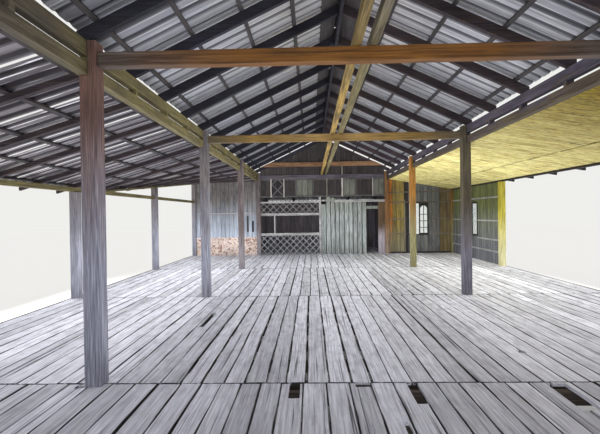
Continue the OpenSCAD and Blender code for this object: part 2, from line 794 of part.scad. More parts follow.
// Heights of the level rails on the walls: long ones, and those that stop at a window
left_rails = [1560];
long_rails = [double_z + double_h, 2260];
back_rails = [700, 1260];
side_long_rails = [336, sill_z + side_h + side_over];
side_rails = [670, 1220];
module wall_rails() {
    side_y = row_y(bays - 1);
    y = frame_front - rail_t / 2;
    x = eave_x - wall_t / 2 - rail_t / 2;
    color("gray") {
        for (z = back_rails) {
            beam_x(outer_x, double_left, y, rail_t, floor_h + z, rail_d);
            beam_x(double_left + double_w, aisle_end, y, rail_t, floor_h + z, rail_d);
        }
        for (z = long_rails)
            beam_x(outer_x, aisle_end, y, rail_t, floor_h + z, rail_d);
        for (z = left_rails)
            beam_x(-aisle_end, -outer_x, y, rail_t, floor_h + z, rail_d);
        for (z = side_long_rails)
            beam_y(x, rail_t, side_y + post_r, back_y - post_r, floor_h + z, rail_d);
        for (z = side_rails) {
            beam_y(x, rail_t, side_y + post_r, side_y + side_x, floor_h + z, rail_d);
            beam_y(x, rail_t, side_y + side_x + side_w, back_y - post_r, floor_h + z, rail_d);
        }
    }
}

module left_back_wall() {
    pitch = left_rafter_pitch(back_y);
    color("slategray") plate_xz(back_y, wall_t)
        polygon([[-outer_x, floor_h], [-outer_x, lower_bot], [-plate_out, lower_bot],
            [-plate_out, aisle_under(plate_out, pitch, left_high)],
            [-aisle_end, aisle_under(aisle_end, pitch, left_high)], [-aisle_end, floor_h]]);
}

room_plate_z = room_under(room_y + room_beam_w / 2) + seat_d - room_beam_d;
ledger_y = back_y + post_r + room_beam_w / 2;
module room_beams() {
    color("saddlebrown") {
        beam_x(-outer_x, outer_x, ledger_y, room_beam_w, room_under(back_y + post_r + room_beam_w) + seat_d
            - room_beam_d, room_beam_d);
        beam_x(-outer_x, outer_x, room_y, room_beam_w, room_plate_z, room_beam_d);
    }
}

module room_walls() {
    y0 = back_y + post_r;
    y1 = room_y - post_r;
    color("dimgray") {
        for (s = [-1, 1]) plate_yz(s * nave_x, wall_t)
            polygon([[y0, floor_h], [y0, room_under(y0 + room_beam_w) + seat_d - room_beam_d],
                [y0 + room_beam_w, room_under(y0 + room_beam_w) + seat_d - room_beam_d],
                [y0 + room_beam_w, room_under(y0 + room_beam_w)],
                [y1, room_under(y1)], [y1, floor_h]]);
        beam_x(-inner_x, inner_x, room_y, wall_t, floor_h, room_plate_z - floor_h);
    }
}

module room_rafters() {
    y0 = back_y + post_r;
    y1 = room_y + room_over;
    color("slategray") for (i = [0 : room_spaces])
        difference() {
            plate_yz(-nave_x + i * nave_w / room_spaces, rafter_w)
                polygon([[y0, room_under(y0)], [y0, room_back(y0)],
                    [y1, room_back(y1)], [y1, room_under(y1)]]);
            room_beams();
        }
}

module room_sheets() {
    reach = (room_l - post_r + room_over - sheet_t * sin(room_pitch)) / cos(room_pitch);
    color("silver") on_room() for (x = [-outer_x : sheet_w : outer_x - cut_least])
        translate([x, reach, 0]) rotate([90, 0, 0]) linear_extrude(reach)
            polygon(sheet_outline(min(sheet_w, outer_x - x) - sheet_lap));
}

left_eave_posts();
left_nave_posts();
right_nave_posts();
right_eave_posts();
room_posts();
floor_girders();
floor_joists();
edge_beams();
floor_deck();
left_nave_plates();
right_nave_plates();
left_eave_plate();
raised_beam();
right_eave_plate();
tie_beams();
centre_beams();
ridge_board();
ridge_cap();
nave_rafters();
nave_battens();
left_nave_sheets();
right_nave_sheets();
left_aisle_rafters();
right_aisle_rafters();
aisle_battens();
left_aisle_sheets();
right_aisle_sheets();
right_ceiling();
gable_boards();
upper_frame();
upper_panels();
upper_lattice();
lower_lattice();
lattice_rails();
board_partition();
door_frame();
right_back_wall();
right_side_wall();
window_frames();
wall_rails();
left_back_wall();
room_walls();
room_beams();
room_rafters();
room_sheets();
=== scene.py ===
import math
import random

import bpy
from mathutils import Matrix, Vector
from mathutils.bvhtree import BVHTree


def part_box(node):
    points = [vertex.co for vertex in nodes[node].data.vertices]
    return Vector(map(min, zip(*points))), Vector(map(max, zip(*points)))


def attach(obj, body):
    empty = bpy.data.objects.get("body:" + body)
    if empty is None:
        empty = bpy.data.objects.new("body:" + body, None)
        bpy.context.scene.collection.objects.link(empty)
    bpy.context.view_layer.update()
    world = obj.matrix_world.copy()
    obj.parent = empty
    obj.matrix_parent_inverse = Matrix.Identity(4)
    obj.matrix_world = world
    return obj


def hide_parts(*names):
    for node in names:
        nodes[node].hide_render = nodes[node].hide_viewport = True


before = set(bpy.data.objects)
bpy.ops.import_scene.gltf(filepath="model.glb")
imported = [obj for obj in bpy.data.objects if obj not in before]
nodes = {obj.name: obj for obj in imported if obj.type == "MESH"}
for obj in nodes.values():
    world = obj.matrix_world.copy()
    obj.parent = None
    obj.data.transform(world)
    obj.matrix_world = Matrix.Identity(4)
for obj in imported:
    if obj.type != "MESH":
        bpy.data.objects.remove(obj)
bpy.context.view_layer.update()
dice = random.Random(7)


# sRGB hex to the linear colour that Blender's sockets take
def linear(code):
    parts = [int(code[i:i + 2], 16) / 255 for i in (1, 3, 5)]
    return [p / 12.92 if p <= 0.04045 else ((p + 0.055) / 1.055) ** 2.4 for p in parts] + [1]


# One node with its settings, its colour stops and its inputs. An input is a value, a socket, or a node, which
# stands for its first output.
def addNode(tree, kind, inputs=None, stops=None, **settings):
    node = tree.nodes.new("ShaderNode" + kind)
    for key, value in settings.items():
        setattr(node, key, value)
    for position, colour in (stops or [])[2:]:
        node.color_ramp.elements.new(position)
    for index, (position, colour) in enumerate(stops or []):
        node.color_ramp.elements[index].position = position
        node.color_ramp.elements[index].color = linear(colour)
    for socket, value in (inputs or {}).items():
        if isinstance(value, bpy.types.Node):
            value = value.outputs[0]
        if isinstance(value, bpy.types.NodeSocket):
            tree.links.new(value, node.inputs[socket])
        else:
            node.inputs[socket].default_value = value
    return node


# Lays a colour over a body where a pattern rises from start to end, up to a share
def layOver(tree, body, colour, pattern, start, end, share):
    share = addNode(tree, "MapRange", {"Value": pattern, "From Min": start, "From Max": end, "To Max": share})
    return addNode(tree, "Mix", {0: share, 6: body, 7: linear(colour)}, data_type="RGBA").outputs[2]


def newMaterial(name):
    material = bpy.data.materials.new(name)
    material.use_nodes = True
    material.node_tree.nodes.clear()
    return material, material.node_tree


def deselectAll():
    if bpy.context.mode != "OBJECT":
        bpy.ops.object.mode_set(mode="OBJECT")
    bpy.ops.object.select_all(action="DESELECT")


# Camera, where the photograph was taken: just inside the first posts, at eye height over the floor
cameraLook = {"place": (-0.441, -9.185, 2.711), "yaw": 1.478, "pitch": -0.384, "roll": -0.825, "lens": 25.11,
              "near": 0.02, "far": 400}


def addCamera(look):
    yaw, pitch, roll = (math.radians(look[key]) for key in ("yaw", "pitch", "roll"))
    ahead = Vector((-math.sin(yaw) * math.cos(pitch), math.cos(yaw) * math.cos(pitch), math.sin(pitch)))
    right = Vector((math.cos(yaw), math.sin(yaw), 0))
    basis = Matrix((right, right.cross(ahead), -ahead)).transposed() @ Matrix.Rotation(roll, 3, "Z")
    bpy.ops.object.camera_add()
    camera = bpy.context.object
    camera.matrix_world = Matrix.Translation(look["place"]) @ basis.to_4x4()
    camera.data.lens = look["lens"]
    camera.data.clip_start = look["near"]
    camera.data.clip_end = look["far"]
    bpy.context.scene.camera = camera
    print("camera set")


# Studio: a white surround and soft boxes in front and at both sides. Weak long lamps inside stand for the
# daylight that the ground and the floor throw about. Each has its place, its aim, its size and its watts.
studioLook = {"sky": 0.9, "shown": "#efefec", "ground": "#fbfaf7", "groundSize": 160,
              "lamps": {"front": ((0, -15, 3.2), (0, 0, 2.2), 9, 4, 420),
                        "left": ((-9.5, 1, 2.6), (0, 1, 2.2), 15, 3, 520),
                        "right": ((9.5, 1, 2.6), (0, 1, 2.2), 15, 3, 560),
                        "floorGlow": ((0, -1.5, 1.3), (0, -1.5, 4), 4, 15, 340),
                        "leftGlow": ((-3.7, -1.5, 1.3), (-3.7, -1.5, 4), 1.6, 15, 160),
                        "backGlow": ((0, 2.2, 3.9), (0, 6.8, 1.9), 4, 0.8, 45),
                        "roofGlow": ((0, -0.7, 4.9), (0, -0.7, 0), 1.5, 9, 180),
                        "leftFloor": ((-3.6, -0.5, 2.55), (-3.6, -0.5, 0), 1.8, 11, 95),
                        "rightFloor": ((3.6, 0, 2.8), (3.6, 0, 0), 1.8, 11, 100)}}


def addStudio(look):
    world = bpy.data.worlds.new("studioSurround")
    world.use_nodes = True
    tree = world.node_tree
    tree.nodes.clear()
    path = addNode(tree, "LightPath")
    seen = addNode(tree, "Math", {0: path.outputs["Is Camera Ray"], 1: path.outputs["Is Glossy Ray"]},
                   operation="MAXIMUM")
    seen = addNode(tree, "Math", {0: seen, 1: path.outputs["Is Transmission Ray"]}, operation="MAXIMUM")
    light = addNode(tree, "Background", {"Color": (1, 1, 1, 1), "Strength": look["sky"]})
    shown = addNode(tree, "Background", {"Color": linear(look["shown"]), "Strength": 1})
    addNode(tree, "OutputWorld", {"Surface": addNode(tree, "MixShader", {0: seen, 1: light, 2: shown})})
    bpy.context.scene.world = world

    for name, (place, aim, width, height, power) in look["lamps"].items():
        bpy.ops.object.light_add(type="AREA", location=place)
        lamp = bpy.context.object
        lamp.name = name
        lamp.rotation_euler = (Vector(aim) - Vector(place)).to_track_quat("-Z", "Y").to_euler()
        lamp.data.shape = "RECTANGLE"
        lamp.data.size = width
        lamp.data.size_y = height
        lamp.data.energy = power
        lamp.visible_camera = False
        lamp.visible_glossy = False

    deselectAll()
    bpy.ops.mesh.primitive_plane_add(size=look["groundSize"])
    ground = bpy.context.object
    ground.name = "studioFloor"
    material, tree = newMaterial("matteStudioPaper")
    shader = addNode(tree, "BsdfPrincipled", {"Base Color": linear(look["ground"]), "Roughness": 0.9})
    addNode(tree, "OutputMaterial", {"Surface": shader})
    ground.data.materials.append(material)
    print("studio set,", len(look["lamps"]), "lamps")


# Timber, sawn or planed. Grain, streak and blot are widths in metres. Real grain lines are about 2 mm wide,
# too fine to show from the camera, so they are drawn six to ten times as coarse.
def makeWood(name, look):
    material, tree = newMaterial(name)
    objectPlace = addNode(tree, "TexCoord").outputs["Object"]
    tone, across, ends = (addNode(tree, "Attribute", attribute_name=mark).outputs["Fac"]
                          for mark in ("tone", "across", "ends"))
    shift = addNode(tree, "VectorMath", {0: (61.3, 47.9, 83.1), "Scale": tone}, operation="SCALE")
    place = addNode(tree, "VectorMath", {0: objectPlace, 1: shift}, operation="ADD")
    long = 30           # how much longer than wide the grain is

    def along(width, stretch):      # coordinates in widths of the pattern, drawn out along the board
        scale = [1 / (width * (stretch if axis == look["axis"] else 1)) for axis in "XYZ"]
        return addNode(tree, "Mapping", {"Vector": place, "Scale": scale})

    grain = addNode(tree, "TexNoise", {"Vector": along(look["grain"], long), "Scale": 1, "Detail": 4,
                                       "Roughness": 0.62, "Distortion": 0.3})
    streak = addNode(tree, "TexNoise", {"Vector": along(look["streak"], 14), "Scale": 1, "Detail": 3,
                                        "Roughness": 0.55})
    blot = addNode(tree, "TexNoise", {"Vector": along(look["blot"], 2), "Scale": 1, "Detail": 5,
                                      "Roughness": 0.6})
    stops = (0.3, 0.5, 0.72)
    streakTint, stainTint, crackTint = look["marks"]
    body = addNode(tree, "ValToRGB", {"Fac": grain}, stops=list(zip(stops, look["tones"])))
    body = layOver(tree, body, streakTint, streak, 0.5, 0.68, look["streakShare"])
    body = layOver(tree, body, stainTint, blot, 0.48, 0.66, look["stainShare"])
    if look["fade"]:            # other tones up to one place on an axis, these from another, the line ragged
        axis, first, last, *tones = look["fade"]
        other = addNode(tree, "ValToRGB", {"Fac": grain}, stops=list(zip(stops, tones)))
        reach = addNode(tree, "SeparateXYZ", {0: objectPlace}).outputs[axis]
        if look["mirrored"]:
            reach = addNode(tree, "Math", {0: reach}, operation="ABSOLUTE")
        reach = addNode(tree, "Math", {0: streak, 1: 0.8, 2: reach}, operation="MULTIPLY_ADD")
        share = addNode(tree, "MapRange", {"Value": reach, "From Min": first + 0.4, "From Max": last + 0.4})
        body = addNode(tree, "Mix", {0: share, 6: other, 7: body}, data_type="RGBA").outputs[2]

    crack = addNode(tree, "TexNoise", {"Vector": along(look["grain"] * 1.7, long * 2.5), "Scale": 1,
                                       "Detail": 2, "Distortion": 0.6})
    crack = addNode(tree, "MapRange", {"Value": crack, "From Min": look["crackFrom"], "From Max": 0.7,
                                       "To Max": look["crackShare"]})
    body = addNode(tree, "Mix", {0: crack, 6: body, 7: linear(crackTint)}, data_type="RGBA").outputs[2]
    level = addNode(tree, "MapRange", {"Value": tone, "To Min": 1 - look["spread"],
                                       "To Max": 1 + look["spread"] / 2})
    body = addNode(tree, "VectorMath", {0: body, "Scale": level}, operation="SCALE")

    across = addNode(tree, "Math", {0: across}, operation="ABSOLUTE")      # dirt at a board's sides and ends
    ends = addNode(tree, "Math", {0: ends}, operation="ABSOLUTE")
    ends = addNode(tree, "MapRange", {"Value": ends, "From Min": 0.97, "From Max": 1.0})
    rim = addNode(tree, "Math", {0: across, 1: ends}, operation="MAXIMUM")
    rim = addNode(tree, "Math", {0: grain, 1: 0.12, 2: rim}, operation="MULTIPLY_ADD")
    rim = addNode(tree, "Math", {0: streak, 1: look["rimWander"], 2: rim}, operation="MULTIPLY_ADD")
    body = layOver(tree, body, crackTint, rim, look["rimFrom"], look["rimFrom"] + look["rimSpan"],
                   look["rimShare"])
    raised = addNode(tree, "Math", {0: grain, 1: crack}, operation="SUBTRACT")
    bump = addNode(tree, "Bump", {"Height": raised, "Strength": 0.5, "Distance": 0.003})
    rough = addNode(tree, "MapRange", {"Value": blot, "To Min": look["rough"] - 0.12,
                                       "To Max": look["rough"] + 0.12})
    shader = addNode(tree, "BsdfPrincipled", {"Base Color": body, "Roughness": rough, "IOR": 1.5,
                                              "Normal": bump})
    addNode(tree, "OutputMaterial", {"Surface": shader})
    return material


# Rolled aluminium roofing: a thin grey oxide keeps its shine dull, each sheet has its own tone, and dust and
# brown water marks run down the slope. Underneath, soot and painted shade lie in the ribs, and painted
# highlights run along their edges.
def makeSheetMetal(name, look):
    material, tree = newMaterial(name)
    place = addNode(tree, "TexCoord").outputs["Object"]
    side = addNode(tree, "SeparateXYZ", {0: place}).outputs[look["side"]]
    side = addNode(tree, "Math", {0: side, 1: look["first"]}, operation="SUBTRACT")
    number = addNode(tree, "Math", {0: side}, operation="FLOOR")       # sheets are one metre wide
    sheet = addNode(tree, "TexWhiteNoise", {"W": number}, noise_dimensions="1D")
    scale = [1 / 0.6] * 3
    scale["XYZ".index(look["side"])] = 1 / 0.03
    flow = addNode(tree, "Mapping", {"Vector": place, "Scale": scale})
    marks = addNode(tree, "TexNoise", {"Vector": flow, "Scale": 1, "Detail": 4})
    cloud = addNode(tree, "TexNoise", {"Vector": place, "Scale": 1 / 0.5, "Detail": 5})
    body = addNode(tree, "Mix", {0: sheet, 6: linear(look["dull"]), 7: linear(look["bright"])},
                   data_type="RGBA").outputs[2]
    body = layOver(tree, body, look["marks"], marks, 0.5, 0.75, look["marksShare"])
    body = layOver(tree, body, look["dust"], cloud, 0.5, 0.7, look["dustShare"])

    # The painted shade and painted highlights below go on the sheets' undersides only
    normal = addNode(tree, "NewGeometry").outputs["True Normal"]
    up = addNode(tree, "SeparateXYZ", {0: normal}).outputs["Z"]
    under = addNode(tree, "Math", {0: up, 1: 0}, operation="LESS_THAN")
    # Soot and painted shade darken the hollow of each rib
    rib = addNode(tree, "Math", {0: side, 1: look["rib"]}, operation="PINGPONG")
    soot = addNode(tree, "MapRange", {"Value": rib, "From Min": look["rib"] * 0.55,
                                      "From Max": look["rib"] * 0.8, "To Max": look["sootAndShadeShare"]})
    soot = addNode(tree, "Math", {0: soot, 1: under}, operation="MULTIPLY")
    body = addNode(tree, "Mix", {0: soot, 6: body, 7: linear(look["soot"])}, data_type="RGBA").outputs[2]
    # A painted highlight: white along each rib's flank, broken up by the marks
    paintedGlint = addNode(tree, "Math", {0: rib, 1: look["rib"] * 0.44, 2: look["rib"] * 0.11}, operation="COMPARE")
    paintedGlint = addNode(tree, "Math", {0: paintedGlint, 1: under}, operation="MULTIPLY")
    broken = addNode(tree, "MapRange", {"Value": marks, "From Min": 0.5, "From Max": 0.57,
                                        "To Max": look["paintedGlintShare"]})
    paintedGlint = addNode(tree, "Math", {0: paintedGlint, 1: broken}, operation="MULTIPLY")
    body = addNode(tree, "Mix", {0: paintedGlint, 6: body, 7: linear("#ffffff")}, data_type="RGBA").outputs[2]
    rough = addNode(tree, "MapRange", {"Value": cloud, "To Min": 0.3, "To Max": 0.62})
    bump = addNode(tree, "Bump", {"Height": cloud, "Strength": 0.25, "Distance": 0.01})
    shader = addNode(tree, "BsdfPrincipled", {"Base Color": body, "Roughness": rough, "Metallic": 0.85,
                                              "Normal": bump})
    addNode(tree, "OutputMaterial", {"Surface": shader})
    return material


# What the timber of each part is: tropical hardwood, sawn or planed and never oiled. It turns silver grey in
# rain and sun and stays brown under the roof. Tones run from dark to pale grain; marks are the streaks, the
# stains and the cracks; fade is an axis, two places on it and the tones that lie before the first one.
# Some tones and fades below are painted light or shade, as each such entry says.
planedWood = {"axis": "Z", "grain": 0.012, "streak": 0.05, "blot": 0.3, "rough": 0.78, "spread": 0,
              "streakShare": 0.6, "stainShare": 0.5, "crackFrom": 0.64, "crackShare": 0.6, "rimFrom": 0.9,
              "rimSpan": 0.16, "rimShare": 0.75, "rimWander": 0, "mirrored": False, "fade": None}
sawnWood = dict(planedWood, grain=0.014, streak=0.06, blot=0.4)
woodLooks = {
    # floor planks, sawn, then bared by feet and rain: silver, with black open cracks. Painted light and shade
    # make them darker towards the near end and paler towards the far end
    "wornSawnPlank": dict(
        planedWood, axis="Y", grain=0.016, blot=0.1, rough=0.6, spread=0.24, stainShare=0.6, crackFrom=0.62,
        crackShare=0.8, rimFrom=1.155, rimSpan=0.06, rimShare=0.95, rimWander=0.35,
        tones=("#b4b7c5", "#dfe2ec", "#f6f8ff"), marks=("#b3aeb8", "#817e8b", "#0e0d0d"),
        fade=("Y", -8.5, 1.5, "#84828e", "#aaaab6", "#cdceda")),
    # posts, hewn and planed: grey and checked in the weather, paler and bluer at the foot
    "greyPlanedPost": dict(
        planedWood, spread=0.15, tones=("#464247", "#6d6769", "#958e8f"),
        marks=("#786a62", "#3f3a3f", "#1c1a1f"), fade=("Z", 2.0, 3.4, "#585862", "#838593", "#adb0be")),
    # grey brown, drier under the roof
    "brownPlanedPost": dict(
        planedWood, spread=0.1, tones=("#3c3639", "#5b5254", "#7f7476"),
        marks=("#6b5c54", "#373135", "#1c1a1f"), fade=("Z", 1.6, 2.3, "#595559", "#807b80", "#a8a3a8")),
    # red heartwood above, bleached below
    "redPlanedPost": dict(
        planedWood, rough=0.75, spread=0.1, tones=("#382b2a", "#5a423b", "#7f6055"),
        marks=("#645047", "#33292b", "#181315"), fade=("Z", 2.3, 3.6, "#464752", "#6b6d7b", "#979aa8")),
    # dark olive above, slate grey below
    "darkPlanedPost": dict(
        planedWood, spread=0.1, tones=("#312e29", "#4a4437", "#6b6350"),
        marks=("#5c4f3a", "#2d2928", "#151315"), fade=("Z", 1.9, 2.9, "#3b3943", "#5b5964", "#7d7b88")),
    # orange heartwood, made bright with painted warm light, olive grey at the foot
    "orangeLitPlanedPost": dict(
        planedWood, rough=0.75, spread=0.1, tones=("#523817", "#815722", "#b0803a"),
        marks=("#94692f", "#463422", "#22170f"), fade=("Z", 2.0, 3.2, "#4f4d36", "#787451", "#a39e76")),
    # tan heartwood at the inner corner, warmed with painted light
    "tanLitPlanedPost": dict(
        planedWood, rough=0.75, spread=0.1, tones=("#463222", "#6f4d30", "#a07346"),
        marks=("#7f6242", "#403024", "#201812"), fade=("Z", 1.4, 2.4, "#5f5148", "#8d7a6c", "#bda796")),
    # yellow sapwood, brightened with painted sunlight, chalky where rain splashes it
    "yellowLitPlanedPost": dict(
        planedWood, rough=0.75, spread=0.1, tones=("#7c722a", "#aea236", "#d6d04c"),
        marks=("#b3a64a", "#5e5830", "#2c2a18"), fade=("Z", 1.5, 2.6, "#8f8a62", "#c6c294", "#ecead0")),
    # rough sawn and never in the sun: brown and dull, across the house
    "dampSawnJoist": dict(
        sawnWood, axis="X", blot=0.3, rough=0.85, spread=0.15, tones=("#2f2926", "#443c37", "#5c534d"),
        marks=("#4c433c", "#26211f", "#12100f")),
    # the same timber along the house
    "dampSawnGirder": dict(
        sawnWood, axis="Y", blot=0.3, rough=0.85, spread=0.15, tones=("#2f2926", "#443c37", "#5c534d"),
        marks=("#4c433c", "#26211f", "#12100f")),
    # rough sawn and black; at the floor's edge and the right eave the black is partly painted shade
    "shadedBlackSawnBeam": dict(
        sawnWood, axis="Y", blot=0.3, rough=0.85, spread=0.1, tones=("#161314", "#24201f", "#37322f"),
        marks=("#2f2a26", "#121012", "#080708")),
    # plates and long beams, sawn: olive brown, duller at the near end
    "oliveSawnBeam": dict(
        sawnWood, axis="Y", rough=0.8, spread=0.12, tones=("#3e382a", "#615939", "#8a8055"),
        marks=("#766b42", "#3a342c", "#181616"), fade=("Y", -6.8, -4.6, "#2a2623", "#423c37", "#5e5750")),
    # violet grey above the slit, brown below it
    "slateSawnBeam": dict(
        sawnWood, axis="Y", rough=0.8, spread=0.12, tones=("#2a2730", "#3d3945", "#5c5767"),
        marks=("#4c4540", "#25222a", "#121115"), fade=("Z", 4.05, 4.12, "#2a2520", "#433a2f", "#615644")),
    # ochre with dark streaks, stained brown at the near end
    "ochreSawnBeam": dict(
        sawnWood, axis="Y", rough=0.8, spread=0.1, streakShare=0.8, tones=("#46391c", "#8c7234", "#c2a452"),
        marks=("#5f4f2c", "#3b3220", "#16120c"), fade=("Y", -6.0, -3.5, "#332b1a", "#594a28", "#7f6d3e")),
    # tie beam, planed: warm orange in the middle, grey at its ends and darkened there as painted shade
    "orangePlanedBeam": dict(
        planedWood, axis="X", grain=0.014, blot=0.35, rough=0.7, mirrored=True,
        tones=("#3e280f", "#653f12", "#865a22"), marks=("#714c1e", "#3a2817", "#1d140f"),
        fade=("X", 2.1, 1.1, "#2b2523", "#443a35", "#63564e")),
    # tie beam, planed: paler ochre, grey at its ends and darkened there as painted shade
    "ochrePlanedBeam": dict(
        planedWood, axis="X", grain=0.014, blot=0.35, rough=0.7, mirrored=True,
        tones=("#45361b", "#6f5627", "#96793c"), marks=("#7d6534", "#40311f", "#201811"),
        fade=("X", 2.2, 1.5, "#352d22", "#524834", "#71654d")),
    # collar beam, planed: tan
    "tanPlanedBeam": dict(
        planedWood, axis="X", grain=0.014, blot=0.35, rough=0.7, tones=("#4d3727", "#79583e", "#a87f5a"),
        marks=("#8a6b4e", "#443329", "#201814")),
    # tie beam at the wall, planed: dusty violet grey
    "duskyPlanedBeam": dict(
        planedWood, axis="X", grain=0.014, blot=0.35, rough=0.8, tones=("#34313a", "#4c4751", "#6c6570"),
        marks=("#5c5350", "#2f2c34", "#17151a")),
    # rafters, rough sawn: blue black
    "blueBlackSawnRafter": dict(
        planedWood, axis="X", rough=0.85, spread=0.3, tones=("#15151e", "#21212b", "#34333f"),
        marks=("#2d292b", "#14131a", "#0a0a0e")),
    # rafters, rough sawn: dark brown
    "brownSawnRafter": dict(
        planedWood, axis="X", rough=0.85, spread=0.3, tones=("#231e22", "#372e33", "#52454a"),
        marks=("#47392f", "#1f1b1f", "#100e10")),
    # battens, rough sawn: dark grey
    "greySawnBatten": dict(
        planedWood, axis="Y", rough=0.85, tones=("#242226", "#353235", "#4c4846"),
        marks=("#443e39", "#1f1d21", "#100f12")),
    # ceiling boards, sawn: cream sapwood with brown sap streaks, browner at the near end
    "yellowSawnBoard": dict(
        planedWood, axis="X", grain=0.02, rough=0.88, spread=0.14, streakShare=0.9, crackFrom=0.6,
        crackShare=0.95, rimShare=0.45, tones=("#dccb66", "#fbf2a4", "#fff8c8"),
        marks=("#a88c30", "#a88a2e", "#2e1e06"), fade=("Y", -4.6, 0.4, "#3a2b04", "#6c5a0a", "#a08e26")),
    # wall boards, sawn: blotchy grey, bleached blue white below
    "greySawnBoard": dict(
        planedWood, grain=0.014, blot=0.2, rough=0.8, spread=0.25, stainShare=0.65,
        tones=("#424042", "#63605f", "#8b8886"), marks=("#6d635b", "#39373c", "#1a191d"),
        fade=("Z", 1.9, 3.3, "#7c8594", "#a6b0c0", "#cbd4e2")),
    # brown and dry
    "brownSawnBoard": dict(
        sawnWood, spread=0.3, tones=("#4c4234", "#6e6146", "#8d7f5a"),
        marks=("#7b6a3e", "#423a36", "#1b1816")),
    # green with old algae above, grey below
    "greenSawnBoard": dict(
        sawnWood, rough=0.8, spread=0.3, tones=("#3b4228", "#5f673c", "#8f985b"),
        marks=("#5d5f50", "#373b35", "#151614"), fade=("Z", 1.6, 3.0, "#3f4148", "#64666e", "#8d9098")),
    # partition, sawn and whitewashed: pale green white, worn to the dark grain
    "whitewashedBoard": dict(
        sawnWood, streak=0.03, blot=0.5, rough=0.75, spread=0.25, streakShare=0.7, stainShare=0.4,
        tones=("#5b6162", "#929999", "#bec4c2"), marks=("#3f4447", "#565b5b", "#17191d"),
        fade=("Z", 3.4, 2.5, "#4c514a", "#73786c", "#9da291")),
    # jamb boards, planed: brown above, bleached below
    "brownPlanedBoard": dict(
        sawnWood, streak=0.04, rough=0.75, spread=0.1, tones=("#382c22", "#574432", "#7b6348"),
        marks=("#655342", "#352a22", "#15110e"), fade=("Z", 1.8, 2.3, "#77707a", "#a29aa5", "#cdc6d0")),
    # ochre above, grey below
    "ochreSawnBoard": dict(
        sawnWood, spread=0.25, tones=("#51472c", "#7d6d3a", "#a8954e"),
        marks=("#8a7440", "#474033", "#1d1813"), fade=("Z", 1.3, 2.3, "#4f4c44", "#77735f", "#a19c7e")),
    # orange heartwood above, grey below
    "orangeSawnBoard": dict(
        sawnWood, spread=0.15, tones=("#5c3b1c", "#935a24", "#c47f34"),
        marks=("#8a6a30", "#4f3a24", "#1d1510"), fade=("Z", 1.5, 2.5, "#4c463c", "#7a705a", "#a59a7c")),
    # slate grey
    "slateSawnBoard": dict(
        sawnWood, rough=0.8, spread=0.3, tones=("#484a4d", "#686a6b", "#8e9090"),
        marks=("#6f6a60", "#414347", "#17171a")),
    # panels, planed: pale olive grey
    "palePlanedPanel": dict(
        sawnWood, spread=0.12, tones=("#444640", "#62645c", "#82847a"),
        marks=("#5b5d50", "#3e403a", "#191a17")),
    # panels, planed: nearly black brown
    "brownPlanedPanel": dict(
        sawnWood, spread=0.15, tones=("#231f21", "#342e2f", "#4a4241"),
        marks=("#40372f", "#1f1b1c", "#0d0c0d")),
    # gable boards, sawn: dark, out of the weather
    "darkSawnBoard": dict(
        sawnWood, rough=0.82, spread=0.25, tones=("#262325", "#383434", "#504b4b"),
        marks=("#453d37", "#211f21", "#0e0d0f")),
    # room boards, rough sawn: pale mauve grey outside
    "greyRoughBoard": dict(
        sawnWood, rough=0.82, spread=0.28, tones=("#5f5b61", "#827d83", "#a6a1a6"),
        marks=("#85796f", "#534f55", "#1d1b1e")),
    # laths, sawn thin: dull grey
    "dullSawnLath": dict(
        planedWood, streak=0.04, rough=0.8, tones=("#484747", "#666463", "#8a8784"),
        marks=("#5f5953", "#3f3e40", "#19191b")),
    # laths, sawn thin: paler and bluer, near the floor
    "paleSawnLath": dict(
        planedWood, streak=0.04, tones=("#5b5d63", "#7f8187", "#a3a5aa"),
        marks=("#706e6c", "#4e5056", "#1d1e21")),
    # rails, planed: pale grey and dry
    "palePlanedRail": dict(
        planedWood, axis="X", rough=0.75, tones=("#69696d", "#919192", "#b5b5b4"),
        marks=("#7d7a74", "#575658", "#232225")),
    # rails, planed: dull brown
    "dullPlanedRail": dict(
        planedWood, axis="X", spread=0.2, tones=("#433f3c", "#645f58", "#8a857c"),
        marks=("#6b624d", "#3b3836", "#1b191c")),
    # studs, planed: dark grey
    "greyPlanedStud": dict(
        planedWood, rough=0.8, tones=("#323134", "#494849", "#636361"),
        marks=("#554f47", "#2a292c", "#131215")),
    # planed and black with age
    "blackPlanedBoard": dict(
        planedWood, rough=0.75, tones=("#19171b", "#29262b", "#3f3b40"),
        marks=("#352f2c", "#141216", "#0a090b")),
    # cover strips, planed: the palest wood in the house
    "whitePlanedStrip": dict(
        planedWood, rough=0.7, spread=0.1, tones=("#827b78", "#b5aea9", "#d6cfca"),
        marks=("#96897c", "#6f6762", "#2a2629")),
    # cover strips, planed: dull cream
    "dullPlanedStrip": dict(
        planedWood, rough=0.75, spread=0.1, tones=("#5c5a50", "#828070", "#a9a795"),
        marks=("#8a7c64", "#504c46", "#26242a")),
    # window frames, planed and painted: smooth dull black
    "blackPaintedFrame": dict(
        planedWood, rough=0.6, tones=("#161618", "#262629", "#3a3a3d"),
        marks=("#2f2d2d", "#101012", "#0a0a0b")),
}

# Roofing: clean on the nave and the right aisle, darker with painted shade on the left one, dark at the
# ridge.
# side is the axis along which the sheets follow each other, first is where they start, and rib is half the
# way between ribs.
sheetLook = {"side": "Y", "first": -9.85, "dull": "#b4b6be", "bright": "#e8eaf0", "marks": "#6c6058",
             "marksShare": 0.4, "dust": "#a6a2a0", "dustShare": 0.4, "rib": 0.1, "soot": "#3c3c46",
             "sootAndShadeShare": 0.75, "paintedGlintShare": 0.6}
sheetLooks = {
    "rolledAluminium": sheetLook,
    # the left aisle: a darker body that is painted shade, and painted highlights at full share
    "shadedRolledAluminium": dict(sheetLook, dull="#716c73", bright="#9c979e", marks="#54463f", marksShare=0.7,
                                 soot="#2a272c", paintedGlintShare=1.0),
    "darkFoldedAluminium": dict(sheetLook, dull="#45434b", bright="#56545e", marks="#2a272c", dust="#5c5a60",
                                paintedGlintShare=0),
    "roomRolledAluminium": dict(sheetLook, side="X", first=-2.475),
}

